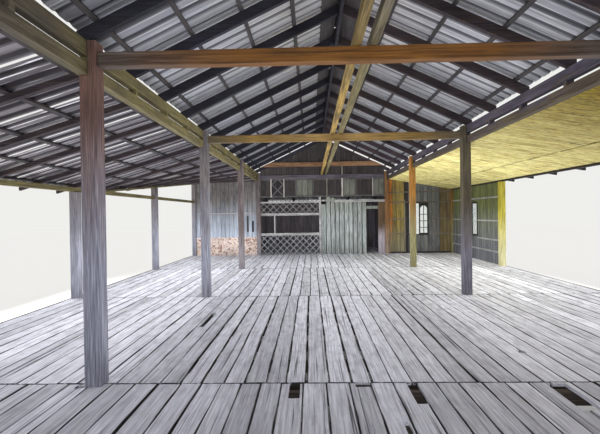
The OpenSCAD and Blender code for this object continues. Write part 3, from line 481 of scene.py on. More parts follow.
# The finish of each CAD node that keeps its own shape
nodeFinishes = {
    "left_eave_plate": "oliveSawnBeam", "raised_beam": "oliveSawnBeam", "aisle_battens": "greySawnBatten",
    "upper_frame": "greyPlanedStud", "upper_lattice": "dullSawnLath", "lower_lattice": "paleSawnLath",
    "lattice_rails": "palePlanedRail", "window_frames": "blackPaintedFrame", "room_beams": "dampSawnJoist",
    "left_nave_sheets": "rolledAluminium", "right_nave_sheets": "rolledAluminium",
    "left_aisle_sheets": "shadedRolledAluminium", "right_aisle_sheets": "rolledAluminium",
    "ridge_cap": "darkFoldedAluminium", "room_sheets": "roomRolledAluminium",
}


def dressNodes(looks):
    for name, finish in looks.items():
        mesh = nodes[name].data
        mesh.materials.clear()
        mesh.materials.append(finishes[finish])
    print("dressed", len(looks), "nodes")


# A finish is one name, or names that each have the place where they start
def finishAt(finish, place):
    return finish if isinstance(finish, str) else [name for start, name in finish if place >= start][-1]


# Timbers copied from CAD nodes: their slot, their eased edge in metres, and their finish. Where that is more
# than one, along is the axis on which each starts.
timberLooks = {
    "left_nave_posts": {"slot": "red_timber", "ease": 0.006, "along": "y",
                        "finish": ((-20, "redPlanedPost"), (-3, "greyPlanedPost"), (1, "brownPlanedPost"))},
    # the posts of the back rows on the right carry painted warm light
    "right_nave_posts": {"slot": "grey_timber", "ease": 0.006, "along": "y",
                         "finish": ((-20, "darkPlanedPost"), (1, "orangeLitPlanedPost"), (5, "tanLitPlanedPost"))},
    "left_eave_posts": {"slot": "grey_timber", "ease": 0.006, "finish": "greyPlanedPost"},
    # the posts of the back rows on the right carry painted warm light
    "right_eave_posts": {"slot": "yellow_timber", "ease": 0.006, "along": "y",
                         "finish": ((-20, "greyPlanedPost"), (1, "yellowLitPlanedPost"),
                                    (5, "orangeLitPlanedPost"))},
    "room_posts": {"slot": "grey_timber", "ease": 0.006, "finish": "greyPlanedPost"},
    "floor_girders": {"slot": "under_timber", "ease": 0.004, "finish": "dampSawnGirder"},
    "floor_joists": {"slot": "under_timber", "ease": 0.003, "finish": "dampSawnJoist"},
    "edge_beams": {"slot": "under_timber", "ease": 0.004, "finish": "shadedBlackSawnBeam"},
    "left_nave_plates": {"slot": "plate_timber", "ease": 0.005, "finish": "oliveSawnBeam"},
    "right_nave_plates": {"slot": "plate_timber", "ease": 0.005, "finish": "slateSawnBeam"},
    "right_eave_plate": {"slot": "yellow_timber", "ease": 0.004, "finish": "shadedBlackSawnBeam"},
    "tie_beams": {"slot": "red_timber", "ease": 0.006, "along": "y",
                  "finish": ((-20, "orangePlanedBeam"), (-3, "ochrePlanedBeam"), (6.4, "tanPlanedBeam"),
                             (6.53, "duskyPlanedBeam"))},
    "centre_beams": {"slot": "plate_timber", "ease": 0.005, "along": "x",
                     "finish": ((-20, "ochreSawnBeam"), (0.06, "oliveSawnBeam"))},
    "ridge_board": {"slot": "dark_timber", "ease": 0.003, "finish": "blueBlackSawnRafter"},
    "nave_rafters": {"slot": "dark_timber", "ease": 0.003, "along": "x",
                     "finish": ((-20, "blueBlackSawnRafter"), (0, "brownSawnRafter"))},
    "nave_battens": {"slot": "dark_timber", "ease": 0.002, "finish": "greySawnBatten"},
    "left_aisle_rafters": {"slot": "grey_timber", "ease": 0.003, "finish": "brownSawnRafter"},
    "right_aisle_rafters": {"slot": "yellow_timber", "ease": 0.003, "finish": "blueBlackSawnRafter"},
    "wall_rails": {"slot": "brown_boards", "ease": 0.002, "along": "x",
                   "finish": ((-20, "palePlanedRail"), (0, "dullPlanedRail"), (4.8, "palePlanedRail"))},
    "room_rafters": {"slot": "room_boards", "ease": 0.002, "finish": "greySawnBatten"},
}


# Copies a node's timbers, merges and eases them, then finishes them one by one
def easeTimbers(looks):
    for node, look in looks.items():
        deselectAll()
        first, *words = node.split("_")
        name = first + "".join(word.capitalize() for word in words)
        copy = bpy.data.objects.new(name, nodes[node].data.copy())
        copy.data.transform(nodes[node].matrix_world)
        copy.data.materials.clear()
        bpy.context.collection.objects.link(copy)
        copy.select_set(True)
        bpy.context.view_layer.objects.active = copy
        bpy.ops.object.mode_set(mode="EDIT")
        bpy.ops.mesh.select_mode(type="EDGE")
        bpy.ops.mesh.select_all(action="SELECT")
        bpy.ops.mesh.remove_doubles(threshold=0.0001)
        bpy.ops.mesh.dissolve_limited(angle_limit=math.radians(1))
        bpy.ops.mesh.select_all(action="DESELECT")
        bpy.ops.mesh.edges_select_sharp(sharpness=math.radians(25))
        bpy.ops.mesh.bevel(offset=look["ease"], segments=1, affect="EDGES")
        bpy.ops.mesh.select_all(action="SELECT")
        bpy.ops.mesh.normals_make_consistent(inside=False)
        bpy.ops.mesh.separate(type="LOOSE")
        bpy.ops.object.mode_set(mode="OBJECT")
        timbers = list(bpy.context.selected_objects)
        for timber in timbers:
            places = [getattr(vertex.co, look.get("along", "y")) for vertex in timber.data.vertices]
            timber.data.materials.append(finishes[finishAt(look["finish"], (min(places) + max(places)) / 2)])
            tone = timber.data.attributes.new("tone", "FLOAT", "POINT")
            tone.data.foreach_set("value", [dice.random()] * len(timber.data.vertices))
        timber = joinPieces(timbers, name)
        bpy.ops.mesh.customdata_custom_splitnormals_clear()
        bpy.ops.object.shade_flat()
        finishPiece(timber, look["slot"], node)


# Which way a board lies: its width, its length and its thickness, along these directions
lays = {"floor": ((1, 0, 0), (0, 1, 0), (0, 0, 1)), "ceiling": ((0, -1, 0), (1, 0, 0), (0, 0, 1)),
        "backWall": ((1, 0, 0), (0, 0, 1), (0, -1, 0)), "sideWall": ((0, 1, 0), (0, 0, 1), (1, 0, 0))}


# Selects, in edit mode, the edges that pass a test of their direction and middle
def selectEdges(piece, test):
    bpy.ops.mesh.select_all(action="DESELECT")
    bpy.ops.object.mode_set(mode="OBJECT")
    for edge in piece.data.edges:
        a, b = (piece.data.vertices[i].co for i in edge.vertices)
        edge.select = test((b - a).normalized(), (a + b) / 2)
    bpy.ops.object.mode_set(mode="EDIT")
    bpy.ops.mesh.select_mode(type="EDGE")


# One sawn board along Y, its middle at the origin, chamfered along its length and cut across for its warp
def makeBoard(width, length, thick, cuts, chamfer=0.003):
    deselectAll()
    bpy.ops.mesh.primitive_cube_add(size=1)
    board = bpy.context.object
    bpy.ops.object.mode_set(mode="EDIT")
    bpy.ops.transform.resize(value=(width, length, thick))
    selectEdges(board, lambda way, middle: abs(way.y) > 0.9)
    bpy.ops.mesh.bevel(offset=chamfer, segments=1, affect="EDGES")
    selectEdges(board, lambda way, middle: abs(way.y) > 0.9)
    bpy.ops.mesh.subdivide(number_cuts=cuts)
    bpy.ops.object.mode_set(mode="OBJECT")
    mesh = board.data
    across = mesh.attributes.new("across", "FLOAT", "POINT")
    ends = mesh.attributes.new("ends", "FLOAT", "POINT")
    mesh.attributes.new("tone", "FLOAT", "POINT")
    for i, vertex in enumerate(mesh.vertices):
        across.data[i].value = vertex.co.x / (width / 2)
        ends.data[i].value = vertex.co.y / (length / 2)
    return board


warpPlaces = 9      # places along a board where it can warp


# A copy of a board, with its own mesh and tone, that fills the box from low to high. Its face warps and its
# two sides waver by so many metres, each place by its own amount.
def layBoard(board, low, high, lay, finish, warp=0.0015, waver=0):
    low, high = Vector(low), Vector(high)
    turn = Matrix(lays[lay]).transposed()
    size = turn.transposed() @ (high - low)
    copy = board.copy()
    copy.data = board.data.copy()
    copy.data.materials.append(finishes[finish])
    bpy.context.collection.objects.link(copy)
    stretch = Matrix.Diagonal([abs(want) / have for want, have in zip(size, board.dimensions)])
    copy.data.transform(Matrix.Translation((low + high) / 2) @ (turn @ stretch).to_4x4())
    tone = dice.random()
    lift = [dice.uniform(-warp, warp) for i in range(warpPlaces)]
    sides = [[-abs(dice.uniform(0, waver)) for i in range(warpPlaces)] for side in range(2)]
    centre = (low + high) / 2
    last = warpPlaces - 1.01
    for vertex, value in zip(copy.data.vertices, copy.data.attributes["tone"].data):
        value.value = tone
        reach = min(max((vertex.co - low).dot(turn.col[1]) / max(abs(size.y), 0.01) * last, 0), last)
        step, share = int(reach), reach % 1
        vertex.co += turn.col[2] * (lift[step] + (lift[step + 1] - lift[step]) * share)
        right = (vertex.co - centre).dot(turn.col[0]) > 0
        edge = sides[right]
        shift = edge[step] + (edge[step + 1] - edge[step]) * share
        vertex.co += turn.col[0] * (shift if right else -shift)
    return copy


# A thin bar or strip between two corners, its edges eased
def makeBar(low, high, finish, ease=0.002):
    low, high = Vector(low), Vector(high)
    deselectAll()
    bpy.ops.mesh.primitive_cube_add(size=1, location=(low + high) / 2, scale=high - low)
    bpy.ops.object.transform_apply()
    bar = bpy.context.object
    bpy.ops.object.mode_set(mode="EDIT")
    bpy.ops.mesh.bevel(offset=ease, segments=1, affect="EDGES")
    bpy.ops.object.mode_set(mode="OBJECT")
    bar.data.materials.append(finishes[finish])
    return bar


def joinPieces(pieces, name):
    deselectAll()
    for piece in pieces:
        piece.select_set(True)
    bpy.context.view_layer.objects.active = pieces[0]
    bpy.ops.object.join()
    piece = bpy.context.object
    piece.name = piece.data.name = name
    return piece


# Cuts boxes out of a piece. With ragged above 0 their sides are broken, as rotten wood is.
def cutOut(piece, boxes, ragged=0):
    cutters = []
    for low, high in boxes:
        low, high = Vector(low), Vector(high)
        deselectAll()
        bpy.ops.mesh.primitive_cube_add(size=1, location=(low + high) / 2, scale=high - low)
        bpy.ops.object.transform_apply()
        if ragged:
            bpy.ops.object.mode_set(mode="EDIT")
            bpy.ops.mesh.subdivide(number_cuts=3)
            bpy.ops.transform.vertex_random(offset=ragged, seed=len(cutters) + 3)
            bpy.ops.object.mode_set(mode="OBJECT")
        cutters.append(bpy.context.object)
    cutter = joinPieces(cutters, "cutter")
    deselectAll()
    bpy.context.view_layer.objects.active = piece
    piece.select_set(True)
    cut = piece.modifiers.new("cut", "BOOLEAN")
    cut.object = cutter
    cut.solver = "EXACT"
    bpy.ops.object.modifier_apply(modifier=cut.name)
    bpy.data.objects.remove(cutter)


# Cuts boxes out of each board that they touch, then marks its vertices again: the new ones have no marks
def cutBoards(boards, lay, boxes, ragged=0):
    wide, long = Vector(lays[lay][0]), Vector(lays[lay][1])
    for board in boards:
        places = [vertex.co.copy() for vertex in board.data.vertices]
        low, high = (Vector([pick(place[i] for place in places) for i in range(3)]) for pick in (min, max))
        hits = [(a, b) for a, b in boxes if all(a[i] < high[i] and b[i] > low[i] for i in range(3))]
        if hits:
            tone = board.data.attributes["tone"].data[0].value
            cutOut(board, hits, ragged)
            marks = board.data.attributes
            middle, half = (low + high) / 2, (high - low) / 2
            for i, vertex in enumerate(board.data.vertices):
                reach = vertex.co - middle
                marks["tone"].data[i].value = tone
                marks["across"].data[i].value = reach.dot(wide) / abs(half.dot(wide))
                marks["ends"].data[i].value = reach.dot(long) / abs(half.dot(long))


# Saws a piece off along a plane and closes the cut
def sawOff(piece, point, normal):
    deselectAll()
    bpy.context.view_layer.objects.active = piece
    piece.select_set(True)
    bpy.ops.object.mode_set(mode="EDIT")
    bpy.ops.mesh.select_all(action="SELECT")
    bpy.ops.mesh.bisect(plane_co=point, plane_no=normal, use_fill=True, clear_outer=True)
    bpy.ops.object.mode_set(mode="OBJECT")


def finishPiece(piece, slot, *replaced):
    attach(piece, "root")
    if replaced:
        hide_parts(*replaced)
    print("made", piece.name, len(piece.data.polygons), "faces")


# Places that share a length between boards of uneven width, with open joints between them. Where wide is
# given, a few joints are that wide.
def boardRows(first, last, width, joint, wide=None, uneven=0.1, wideShare=0.15):
    count = max(1, round((last - first) / width))
    shares = [1 + dice.uniform(-uneven, uneven) for i in range(count)]
    joints = [wide if wide and dice.random() < wideShare else joint * dice.uniform(0.5, 1.5)
              for i in range(count + 1)]
    joints[0] = joints[-1] = 0
    rows, start = [], first
    for i, share in enumerate(shares):
        end = start + share * (last - first) / sum(shares)
        rows.append((start + joints[i] / 2, end - joints[i + 1] / 2))
        start = end
    return rows


# The floor: one board's length to a bay, butted over the post rows, with a notch at each post. Each rotten
# place is a corner, a width and a length, broken by ragged.
floorLook = {"board": 0.192, "joint": 0.004, "wideJoint": 0.016, "thick": 0.03, "top": 1.2, "warp": 0.002,
             "waver": 0.0045, "bay": 4.0, "firstRow": -9.45, "bays": 4, "halfWidth": 4.925, "front": -9.61,
             "buttJoint": 0.004, "uneven": 0.008, "roomEnd": 9.625, "roomHalf": 2.475, "roomRow": 9.55,
             "notch": 0.078, "postX": (-4.85, -2.4, 2.4, 4.85), "ragged": 0.006,
             "rotten": ((-0.65, -5.76, 0.095, 0.3), (-0.07, -5.54, 0.14, 0.11), (0.38, -5.87, 0.105, 0.43),
                        (1.59, -5.98, 0.17, 0.5), (0.205, -6.32, 0.045, 0.17), (-1.995, -3.55, 0.075, 0.8),
                        (1.76, -4.69, 0.08, 0.09), (0.01, -1.5, 0.16, 0.1), (-2.56, -5.545, 0.08, 0.07),
                        (-3.44, -5.43, 0.03, 2.9))}


def makeFloor(look):
    board = makeBoard(look["board"], look["bay"], look["thick"], 7)
    pieces = []
    bottom, top = look["top"] - look["thick"], look["top"]
    rows = [look["firstRow"] + i * look["bay"] for i in range(look["bays"] + 1)]
    starts = [look["front"]] + [row + look["buttJoint"] for row in rows[1:]]
    ends = [row - look["buttJoint"] for row in rows[1:]] + [look["roomEnd"]]
    for start, end in zip(starts, ends):
        half = look["roomHalf"] if end == look["roomEnd"] else look["halfWidth"]
        for x0, x1 in boardRows(-half, half, look["board"], look["joint"], look["wideJoint"]):
            low = (x0, start + dice.uniform(0, look["uneven"]), bottom)
            high = (x1, end - dice.uniform(0, look["uneven"]), top)
            pieces.append(layBoard(board, low, high, "floor", "wornSawnPlank", look["warp"], look["waver"]))
    bpy.data.objects.remove(board)
    posts = [(x, y) for y in rows for x in look["postX"]] + [(x, look["roomRow"]) for x in look["postX"][1:3]]
    hole = look["notch"]
    cutBoards(pieces, "floor", [((x - hole, y - hole, bottom - 0.1), (x + hole, y + hole, top + 0.1))
                                for x, y in posts])
    cutBoards(pieces, "floor", [((x, y, bottom - 0.07), (x + width, y + length, top + 0.1))
                                for x, y, width, length in look["rotten"]], look["ragged"])
    finishPiece(joinPieces(pieces, "floorPlanks"), "weathered_floor", "floor_deck")


# The right aisle's ceiling: boards down the slope, in two lengths that end unevenly beside a seam
ceilingLook = {"board": 0.17, "length": 1.4, "thick": 0.015, "chamfer": 0.002, "joint": 0.0015, "seam": 3.9,
               "seamJoint": 0.026, "slope": 9.7}


def makeCeiling(look):
    low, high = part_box("right_ceiling")
    slope = math.radians(look["slope"])
    thick = look["thick"]
    board = makeBoard(look["board"], look["length"], thick, 4, look["chamfer"])
    pieces = []
    for side in range(2):
        for y0, y1 in boardRows(low.y, high.y, look["board"], look["joint"]):
            short = dice.uniform(0.15, 1) * look["seamJoint"]
            x0, x1 = (look["seam"] + short, high.x) if side else (low.x, look["seam"] - short)
            pieces.append(layBoard(board, (x0, y0, 0), (x1, y1, thick), "ceiling", "yellowSawnBoard", 0.0))
    bpy.data.objects.remove(board)
    ceiling = joinPieces(pieces, "ceilingPlanks")
    top = high.z - thick / math.cos(slope)
    for vertex in ceiling.data.vertices:      # lean the level boards to the roof's slope
        vertex.co.z = top - (vertex.co.x - low.x) * math.tan(slope) + vertex.co.z / math.cos(slope)
    finishPiece(ceiling, "ceiling_boards", "right_ceiling")


# Upright boards side by side in a box. tops are the heights of the first ones, cut up to 10 mm lower, and the
# last height goes on to the end.
def raiseBoards(low, high, lay, width, joint, finish, tops=None, waver=0):
    low, high = Vector(low), Vector(high)
    side = 1 if lay == "sideWall" else 0
    board = makeBoard(width, 2, (high - low)[1 - side], 4)      # 2 m long, and later drawn to its height
    pieces = []
    for i, (a, b) in enumerate(boardRows(low[side], high[side], width, joint)):
        first, last = low.copy(), high.copy()
        first[side], last[side] = a, b
        if tops:
            last.z = low.z + tops[min(i, len(tops) - 1)] - dice.uniform(0, 0.01)
        pieces.append(layBoard(board, first, last, lay, finishAt(finish, (a + b) / 2), 0.001, waver))
    bpy.data.objects.remove(board)
    return pieces


# The walls: the node that each stands for, its slot and boards, its holes, the planes that its top is sawn to
# (a place, a pitch and a side), and two places where a board has rotted to a blind slot, painted shade at its
# back
wallLooks = {
    "gablePlanks": {"node": "gable_boards", "slot": "dark_timber", "lay": "backWall", "board": 0.2,
                    "finish": "darkSawnBoard", "slopes": ((0.022, 25.3, 1), (-0.022, 25.3, -1)),
                    "holes": ((-0.022, 5.36, 0.044, 0.3),)},
    "leftWallPlanks": {"node": "left_back_wall", "slot": "grey_boards", "lay": "backWall", "board": 0.16,
                       "finish": "greySawnBoard", "slopes": ((-2.49, 1.25, -1),),
                       "slots": ((-2.855, 2.07, 0.07, 0.6), (-2.665, 2.07, 0.08, 0.41))},
    "rightWallPlanks": {"node": "right_back_wall", "slot": "brown_boards", "lay": "backWall", "board": 0.145,
                        "finish": ((2, "orangeSawnBoard"), (2.6, "ochreSawnBoard"), (3.1, "blackPlanedBoard"),
                                   (3.22, "slateSawnBoard"), (4.35, "brownSawnBoard")),
                        "slopes": ((2.49, 9.65, 1),), "holes": ((3.11, 1.874, 0.83, 1.212),)},
    "sideWallPlanks": {"node": "right_side_wall", "slot": "brown_boards", "lay": "sideWall", "board": 0.16,
                       "finish": "greenSawnBoard", "holes": ((4.18, 1.945, 0.56, 1.08),)},
}
# What all walls share: their joints, and how a slot is filled with black, which is painted shade, in metres
# from the wall's rear face
boardingLook = {"joint": 0.0006, "slotEnd": 0.006, "fillFrom": 0.0065, "fillTo": 0.012, "inset": 0.001}


def makeWalls(looks):
    for name, look in looks.items():
        low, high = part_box(look["node"])
        boards = raiseBoards(low, high, look["lay"], look["board"], boardingLook["joint"], look["finish"])
        holes, shadeFills = [], []
        for a, z, width, height in look.get("holes", ()):
            if look["lay"] == "sideWall":
                holes.append(((low.x - 0.1, a, z), (high.x + 0.1, a + width, z + height)))
            else:
                holes.append(((a, low.y - 0.1, z), (a + width, high.y + 0.1, z + height)))
        for a, z, width, height in look.get("slots", ()):
            holes.append(((a, low.y - 0.1, z), (a + width, high.y - boardingLook["slotEnd"], z + height)))
        cutBoards(boards, look["lay"], holes)
        wall = joinPieces(boards, name)
        for x, pitch, side in look.get("slopes", ()):
            lean = math.radians(pitch)
            sawOff(wall, (x, low.y, high.z), (side * math.sin(lean), 0, math.cos(lean)))
        # a black piece at the back of each slot is painted shade
        for a, z, width, height in look.get("slots", ()):
            inset = boardingLook["inset"]
            first = (a + inset, high.y - boardingLook["fillTo"], z + inset)
            last = (a + width - inset, high.y - boardingLook["fillFrom"], z + height)
            shadeFills.append(makeBar(first, last, "blackPaintedFrame", 0.001))
        if shadeFills:
            wall = joinPieces([wall] + shadeFills, name)
        finishPiece(wall, look["slot"], look["node"])


# The closed back room: its two side walls fall with its roof and leave room for the beam on the house's wall
roomLook = {"board": 0.19, "wall": 0.025, "slope": 10, "sideX": 2.4, "front": 6.625,
            "back": 9.475, "endY": 9.55, "half": 2.325, "beam": 0.06, "beamFoot": 3.6665, "top": 3.7685,
            "endTop": 3.156, "floor": 1.2}


def makeRoom(look):
    pieces = []
    half = look["wall"] / 2
    for side in (-1, 1):
        x = side * look["sideX"]
        pieces += raiseBoards((x - half, look["front"], look["floor"]), (x + half, look["back"], look["top"]),
                              "sideWall", look["board"], boardingLook["joint"], "greyRoughBoard")
    lean = math.radians(look["slope"])
    edge = look["front"] + look["beam"]
    cutBoards(pieces, "sideWall",
              [((x - 0.1, look["front"] - 0.1, look["beamFoot"]), (x + 0.1, edge, look["top"] + 0.2))
               for x in (-look["sideX"], look["sideX"])])
    room = joinPieces(pieces, "roomPlanks")
    sawOff(room, (0, edge, look["top"]), (0, math.sin(lean), math.cos(lean)))
    back = raiseBoards((-look["half"], look["endY"] - half, look["floor"]),
                       (look["half"], look["endY"] + half, look["endTop"]),
                       "backWall", look["board"], boardingLook["joint"], "greyRoughBoard")
    room = joinPieces([room] + back, "roomPlanks")
    finishPiece(room, "room_boards", "room_walls")


# The white partition: one short board, two tall ones, then boards up to the rail, each cut a little off
partitionLook = {"board": 0.1685, "joint": 0.012, "waver": 0.006, "tops": (1.88, 2.15, 2.11, 2.01)}


def makePartition(look):
    low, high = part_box("board_partition")
    pieces = raiseBoards(low, high, "backWall", look["board"], look["joint"], "whitewashedBoard",
                         look["tops"], look["waver"])
    finishPiece(joinPieces(pieces, "partitionPlanks"), "white_boards", "board_partition")


# The row of panels over the openings: the finish of each cell between the studs. The panel of one cell lies
# behind its crossed laths.
panelLook = {"studs": (-2.295, -1.9204, -1.4322, -0.9765, -0.3394, 0.1767, 0.7487, 1.2602, 1.8879, 2.295),
             "halfStud": 0.03, "board": 0.2, "crossed": 1, "wallY": 6.55, "halfPanel": 0.008,
             "behind": 0.015,
             "finishes": ("darkSawnBoard", "blackPlanedBoard", "darkSawnBoard", "palePlanedPanel",
                          "brownPlanedPanel", "brownPlanedPanel", "palePlanedPanel", "brownPlanedPanel",
                          "palePlanedPanel")}


def makePanels(look):
    low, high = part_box("upper_panels")
    pieces = []
    for i, finish in enumerate(look["finishes"]):
        y = look["wallY"] + (look["behind"] if i == look["crossed"] else 0)
        first = Vector((look["studs"][i] + (look["halfStud"] if i else 0), y - look["halfPanel"], low.z))
        end = look["studs"][i + 1] - (look["halfStud"] if i < len(look["finishes"]) - 1 else 0)
        last = Vector((end, y + look["halfPanel"], high.z))
        pieces += raiseBoards(first, last, "backWall", look["board"], boardingLook["joint"], finish)
    finishPiece(joinPieces(pieces, "panelPlanks"), "panel_boards", "upper_panels")


# Board, strips and linings that are nailed on: the two corners of each, and its finish. The doorway's own
# boards stand for the CAD's door frame.
doorLook = {"jamb": [((2.075, 6.5375, 1.2), (2.2, 6.5625, 3.2), "brownPlanedBoard"),
                     ((2.202, 6.5375, 1.2), (2.325, 6.5625, 3.21), "brownPlanedBoard")],
            "lintel": [((1.635, 6.5375, 2.875), (2.0745, 6.5625, 2.985), "whitewashedBoard")],
            "rail": [((0.4555, 6.5175, 3.135), (2.325, 6.5375, 3.23), "palePlanedRail")]}
trimLook = {
    "paleStrips": {"slot": "white_boards", "bars": [
        ((-1.945, 6.504, 3.352), (-1.897, 6.5125, 4.04), "whitePlanedStrip"),
        ((-1.45, 6.504, 3.352), (-1.418, 6.5125, 4.04), "whitePlanedStrip"),
        ((0.163, 6.504, 3.352), (0.189, 6.5125, 4.04), "dullPlanedStrip"),
        ((0.724, 6.504, 3.352), (0.772, 6.5125, 4.04), "whitePlanedStrip"),
        ((1.872, 6.504, 3.352), (1.902, 6.5125, 4.04), "whitePlanedStrip"),
        ((0.73, 6.5255, 4.182), (0.768, 6.5375, 4.6), "dullPlanedStrip"),
        ((3.045, 6.5265, 1.26), (3.085, 6.5375, 3.2), "dullPlanedStrip")]},
    "skirtings": {"slot": "brown_boards", "bars": [
        ((2.48, 6.5275, 1.2005), (4.77, 6.5375, 1.262), "blackPlanedBoard")]},
    "lowPanel": {"slot": "grey_boards", "bars": [
        ((-4.77, 6.5255, 1.2005), (-3.66, 6.5375, 1.87), "pressedChipboard"),
        ((-3.65, 6.5255, 1.2005), (-2.48, 6.5375, 1.87), "pressedChipboard")]},
}


def makeTrims(door, trims):
    bars = [makeBar(low, high, finish, ease=0.003) for part in door.values() for low, high, finish in part]
    finishPiece(joinPieces(bars, "doorBoards"), "white_boards", "door_frame")
    for name, look in trims.items():
        finishPiece(joinPieces([makeBar(low, high, finish) for low, high, finish in look["bars"]], name),
                    look["slot"])


# Chipboard, pressed in resin: pink and cream chips, smooth and a little dirty. Real chips are about 10 mm
# across, too fine to show from the camera, so they are drawn five times as coarse.
def makeChipboard(name):
    material, tree = newMaterial(name)
    place = addNode(tree, "TexCoord").outputs["Object"]
    chips = addNode(tree, "TexVoronoi", {"Vector": place, "Scale": 1 / 0.05, "Randomness": 1.0})
    tint = addNode(tree, "SeparateColor", {0: chips.outputs["Color"]})
    body = addNode(tree, "ValToRGB", {"Fac": tint}, stops=[(0.1, "#86695f"), (0.3, "#bfa89f"),
                                                           (0.6, "#d9cec9"), (0.85, "#c8b3a4")])
    dirt = addNode(tree, "TexNoise", {"Vector": place, "Scale": 1 / 0.3, "Detail": 5})
    body = layOver(tree, body, "#8f8280", dirt, 0.5, 0.7, 0.45)
    bump = addNode(tree, "Bump", {"Height": tint, "Strength": 0.3, "Distance": 0.002})
    shader = addNode(tree, "BsdfPrincipled", {"Base Color": body, "Roughness": 0.6, "IOR": 1.5,
                                              "Normal": bump})
    addNode(tree, "OutputMaterial", {"Surface": shader})
    return material


# Float glass, old and slightly milky with dust in patches of 80 mm, so the white outside shows through it
def makeGlass(name):
    material, tree = newMaterial(name)
    place = addNode(tree, "TexCoord").outputs["Object"]
    dust = addNode(tree, "TexNoise", {"Vector": place, "Scale": 1 / 0.08, "Detail": 5})
    rough = addNode(tree, "MapRange", {"Value": dust, "To Min": 0.02, "To Max": 0.25})
    body = addNode(tree, "ValToRGB", {"Fac": dust}, stops=[(0.35, "#f4f8f6"), (0.7, "#dde6e2")])
    shader = addNode(tree, "BsdfPrincipled", {"Base Color": body, "Roughness": rough,
                                              "Transmission Weight": 1, "IOR": 1.5})
    addNode(tree, "OutputMaterial", {"Surface": shader})
    return material


# Glazing: a pane in each light, and bars in the arched one, the level ones a little less deep
windowLook = {"plain": ((3.23, 1.91), (3.598, 3.05)), "arched": (3.634, 1.95, 0.27, 1.02), "y": 6.55,
              "bar": 0.022, "deep": 0.03, "levelDeep": 0.027, "headGap": 0.003, "pane": 0.004,
              "cross": (0.2, 0.44, 0.68),
              "side": ((4.85, 4.23, 1.995), (4.69, 2.975))}


def makeWindows(look):
    half = look["bar"] / 2
    deep, level = look["deep"] / 2, look["levelDeep"] / 2
    thin = look["pane"] / 2
    y = look["y"]
    x, sill, width, height = look["arched"]
    middle, spring = x + width / 2, sill + height - width / 2
    head = sill + height - look["headGap"]
    bars = [makeBar((middle - half, y - deep, sill), (middle + half, y + deep, head), "blackPaintedFrame")]
    for share in look["cross"]:
        z = sill + share * height
        bars.append(makeBar((x, y - level, z - half), (x + width, y + level, z + half), "blackPaintedFrame"))

    deselectAll()       # the arched pane: a disc whose lower half is drawn down to the sill
    bpy.ops.mesh.primitive_cylinder_add(vertices=48, radius=width / 2, depth=look["pane"],
                                        location=(middle, y, spring), rotation=(math.pi / 2, 0, 0))
    bpy.ops.object.transform_apply()
    arched = bpy.context.object
    bpy.ops.object.mode_set(mode="EDIT")
    selectEdges(arched, lambda way, place: place.z < spring - 0.001)
    bpy.ops.mesh.select_mode(type="VERT")
    bpy.ops.transform.resize(value=(1, 1, 0), center_override=(middle, y, sill))
    bpy.ops.object.mode_set(mode="OBJECT")
    for vertex in arched.data.vertices:
        if vertex.co.z < spring - 0.001:
            vertex.co.x = middle + math.copysign(width / 2, vertex.co.x - middle)
    arched.data.materials.append(finishes["dustyFloatGlass"])

    (x0, z0), (x1, z1) = look["plain"]
    (sideX, y0, low), (y1, high) = look["side"]
    panes = [arched, makeBar((x0, y - thin, z0), (x1, y + thin, z1), "dustyFloatGlass", 0.001),
             makeBar((sideX - thin, y0, low), (sideX + thin, y1, high), "dustyFloatGlass", 0.001)]
    finishPiece(joinPieces(bars, "windowBars"), "black_frames")
    finishPiece(joinPieces(panes, "windowPanes"), "black_frames")


# Nails through the roof sheets: a stamped washer under a low head, on every second rib, in rows over the
# battens. The shares say where a row lies between a sheet's upper and lower edge.
roofNailLook = {"radius": 0.017, "head": 0.007, "washer": 0.003, "headHeight": 0.004, "gap": 0.4, "rib": 0.1,
                "rows": {"left_nave_sheets": (0.06, 0.34, 0.64, 0.92),
                         "right_nave_sheets": (0.06, 0.34, 0.64, 0.92),
                         "left_aisle_sheets": (0.1, 0.5, 0.9), "right_aisle_sheets": (0.1, 0.5, 0.9)}}


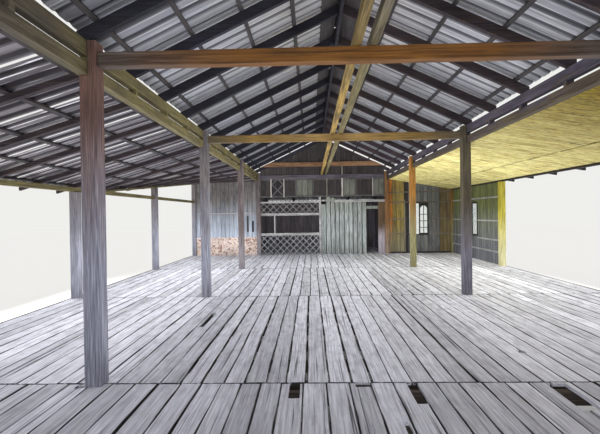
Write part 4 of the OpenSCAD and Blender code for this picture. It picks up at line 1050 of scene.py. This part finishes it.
def makeRoofNails(look):
    deselectAll()
    bpy.ops.mesh.primitive_cylinder_add(vertices=8, radius=look["radius"], depth=look["washer"],
                                        location=(0, 0, look["washer"] / 2))
    bpy.ops.object.transform_apply()
    nail = bpy.context.object
    bpy.ops.object.mode_set(mode="EDIT")
    bpy.ops.mesh.select_mode(type="FACE")
    bpy.ops.mesh.select_all(action="DESELECT")
    bpy.ops.object.mode_set(mode="OBJECT")
    for face in nail.data.polygons:
        face.select = face.normal.z > 0.9
    bpy.ops.object.mode_set(mode="EDIT")
    bpy.ops.mesh.inset(thickness=look["radius"] - look["head"])
    bpy.ops.mesh.extrude_region_move(TRANSFORM_OT_translate={"value": (0, 0, look["headHeight"])})
    bpy.ops.object.mode_set(mode="OBJECT")
    nail.data.materials.append(finishes["rustyStampedSteel"])

    nails = []
    for name, shares in look["rows"].items():
        low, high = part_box(name)
        sheets = BVHTree.FromObject(nodes[name], bpy.context.evaluated_depsgraph_get())
        top, foot = (high.x, low.x) if low.x + high.x < 0 else (low.x, high.x)
        for share in shares:
            x = top + (foot - top) * share
            y = low.y + look["rib"]
            while y < high.y:
                place, normal, face, reach = sheets.ray_cast(Vector((x, y, high.z + 1)), Vector((0, 0, -1)))
                if place:
                    copy = nail.copy()
                    copy.data = nail.data.copy()
                    bpy.context.collection.objects.link(copy)
                    turn = normal.to_track_quat("Z", "Y").to_matrix().to_4x4()
                    copy.data.transform(Matrix.Translation(place) @ turn)
                    nails.append(copy)
                y += look["gap"]
    bpy.data.objects.remove(nail)
    finishPiece(joinPieces(nails, "roofNails"), "roof_sheet")


# Stamped steel whose zinc has gone: brown rust with a few grey places left, in patches of 50 mm
def makeNailSteel(name):
    material, tree = newMaterial(name)
    place = addNode(tree, "TexCoord").outputs["Object"]
    rust = addNode(tree, "TexNoise", {"Vector": place, "Scale": 1 / 0.05, "Detail": 4})
    body = addNode(tree, "ValToRGB", {"Fac": rust},
                   stops=[(0.35, "#8f8f92"), (0.5, "#6b5648"), (0.7, "#4a2f20")])
    metal = addNode(tree, "MapRange", {"Value": rust, "From Min": 0.4, "From Max": 0.55,
                                       "To Min": 0.8, "To Max": 0.1})
    rough = addNode(tree, "MapRange", {"Value": rust, "To Min": 0.5, "To Max": 0.9})
    shader = addNode(tree, "BsdfPrincipled", {"Base Color": body, "Roughness": rough, "Metallic": metal})
    addNode(tree, "OutputMaterial", {"Surface": shader})
    return material


finishes = {name: makeWood(name, look) for name, look in woodLooks.items()}
finishes.update({name: makeSheetMetal(name, look) for name, look in sheetLooks.items()})
finishes["pressedChipboard"] = makeChipboard("pressedChipboard")
finishes["dustyFloatGlass"] = makeGlass("dustyFloatGlass")
finishes["rustyStampedSteel"] = makeNailSteel("rustyStampedSteel")
print("made", len(finishes), "materials")

addCamera(cameraLook)
addStudio(studioLook)
dressNodes(nodeFinishes)
easeTimbers(timberLooks)
makeFloor(floorLook)
makeCeiling(ceilingLook)
makeWalls(wallLooks)
makeRoom(roomLook)
makePartition(partitionLook)
makePanels(panelLook)
makeTrims(doorLook, trimLook)
makeWindows(windowLook)
makeRoofNails(roofNailLook)

bpy.context.scene.view_settings.view_transform = "Standard"
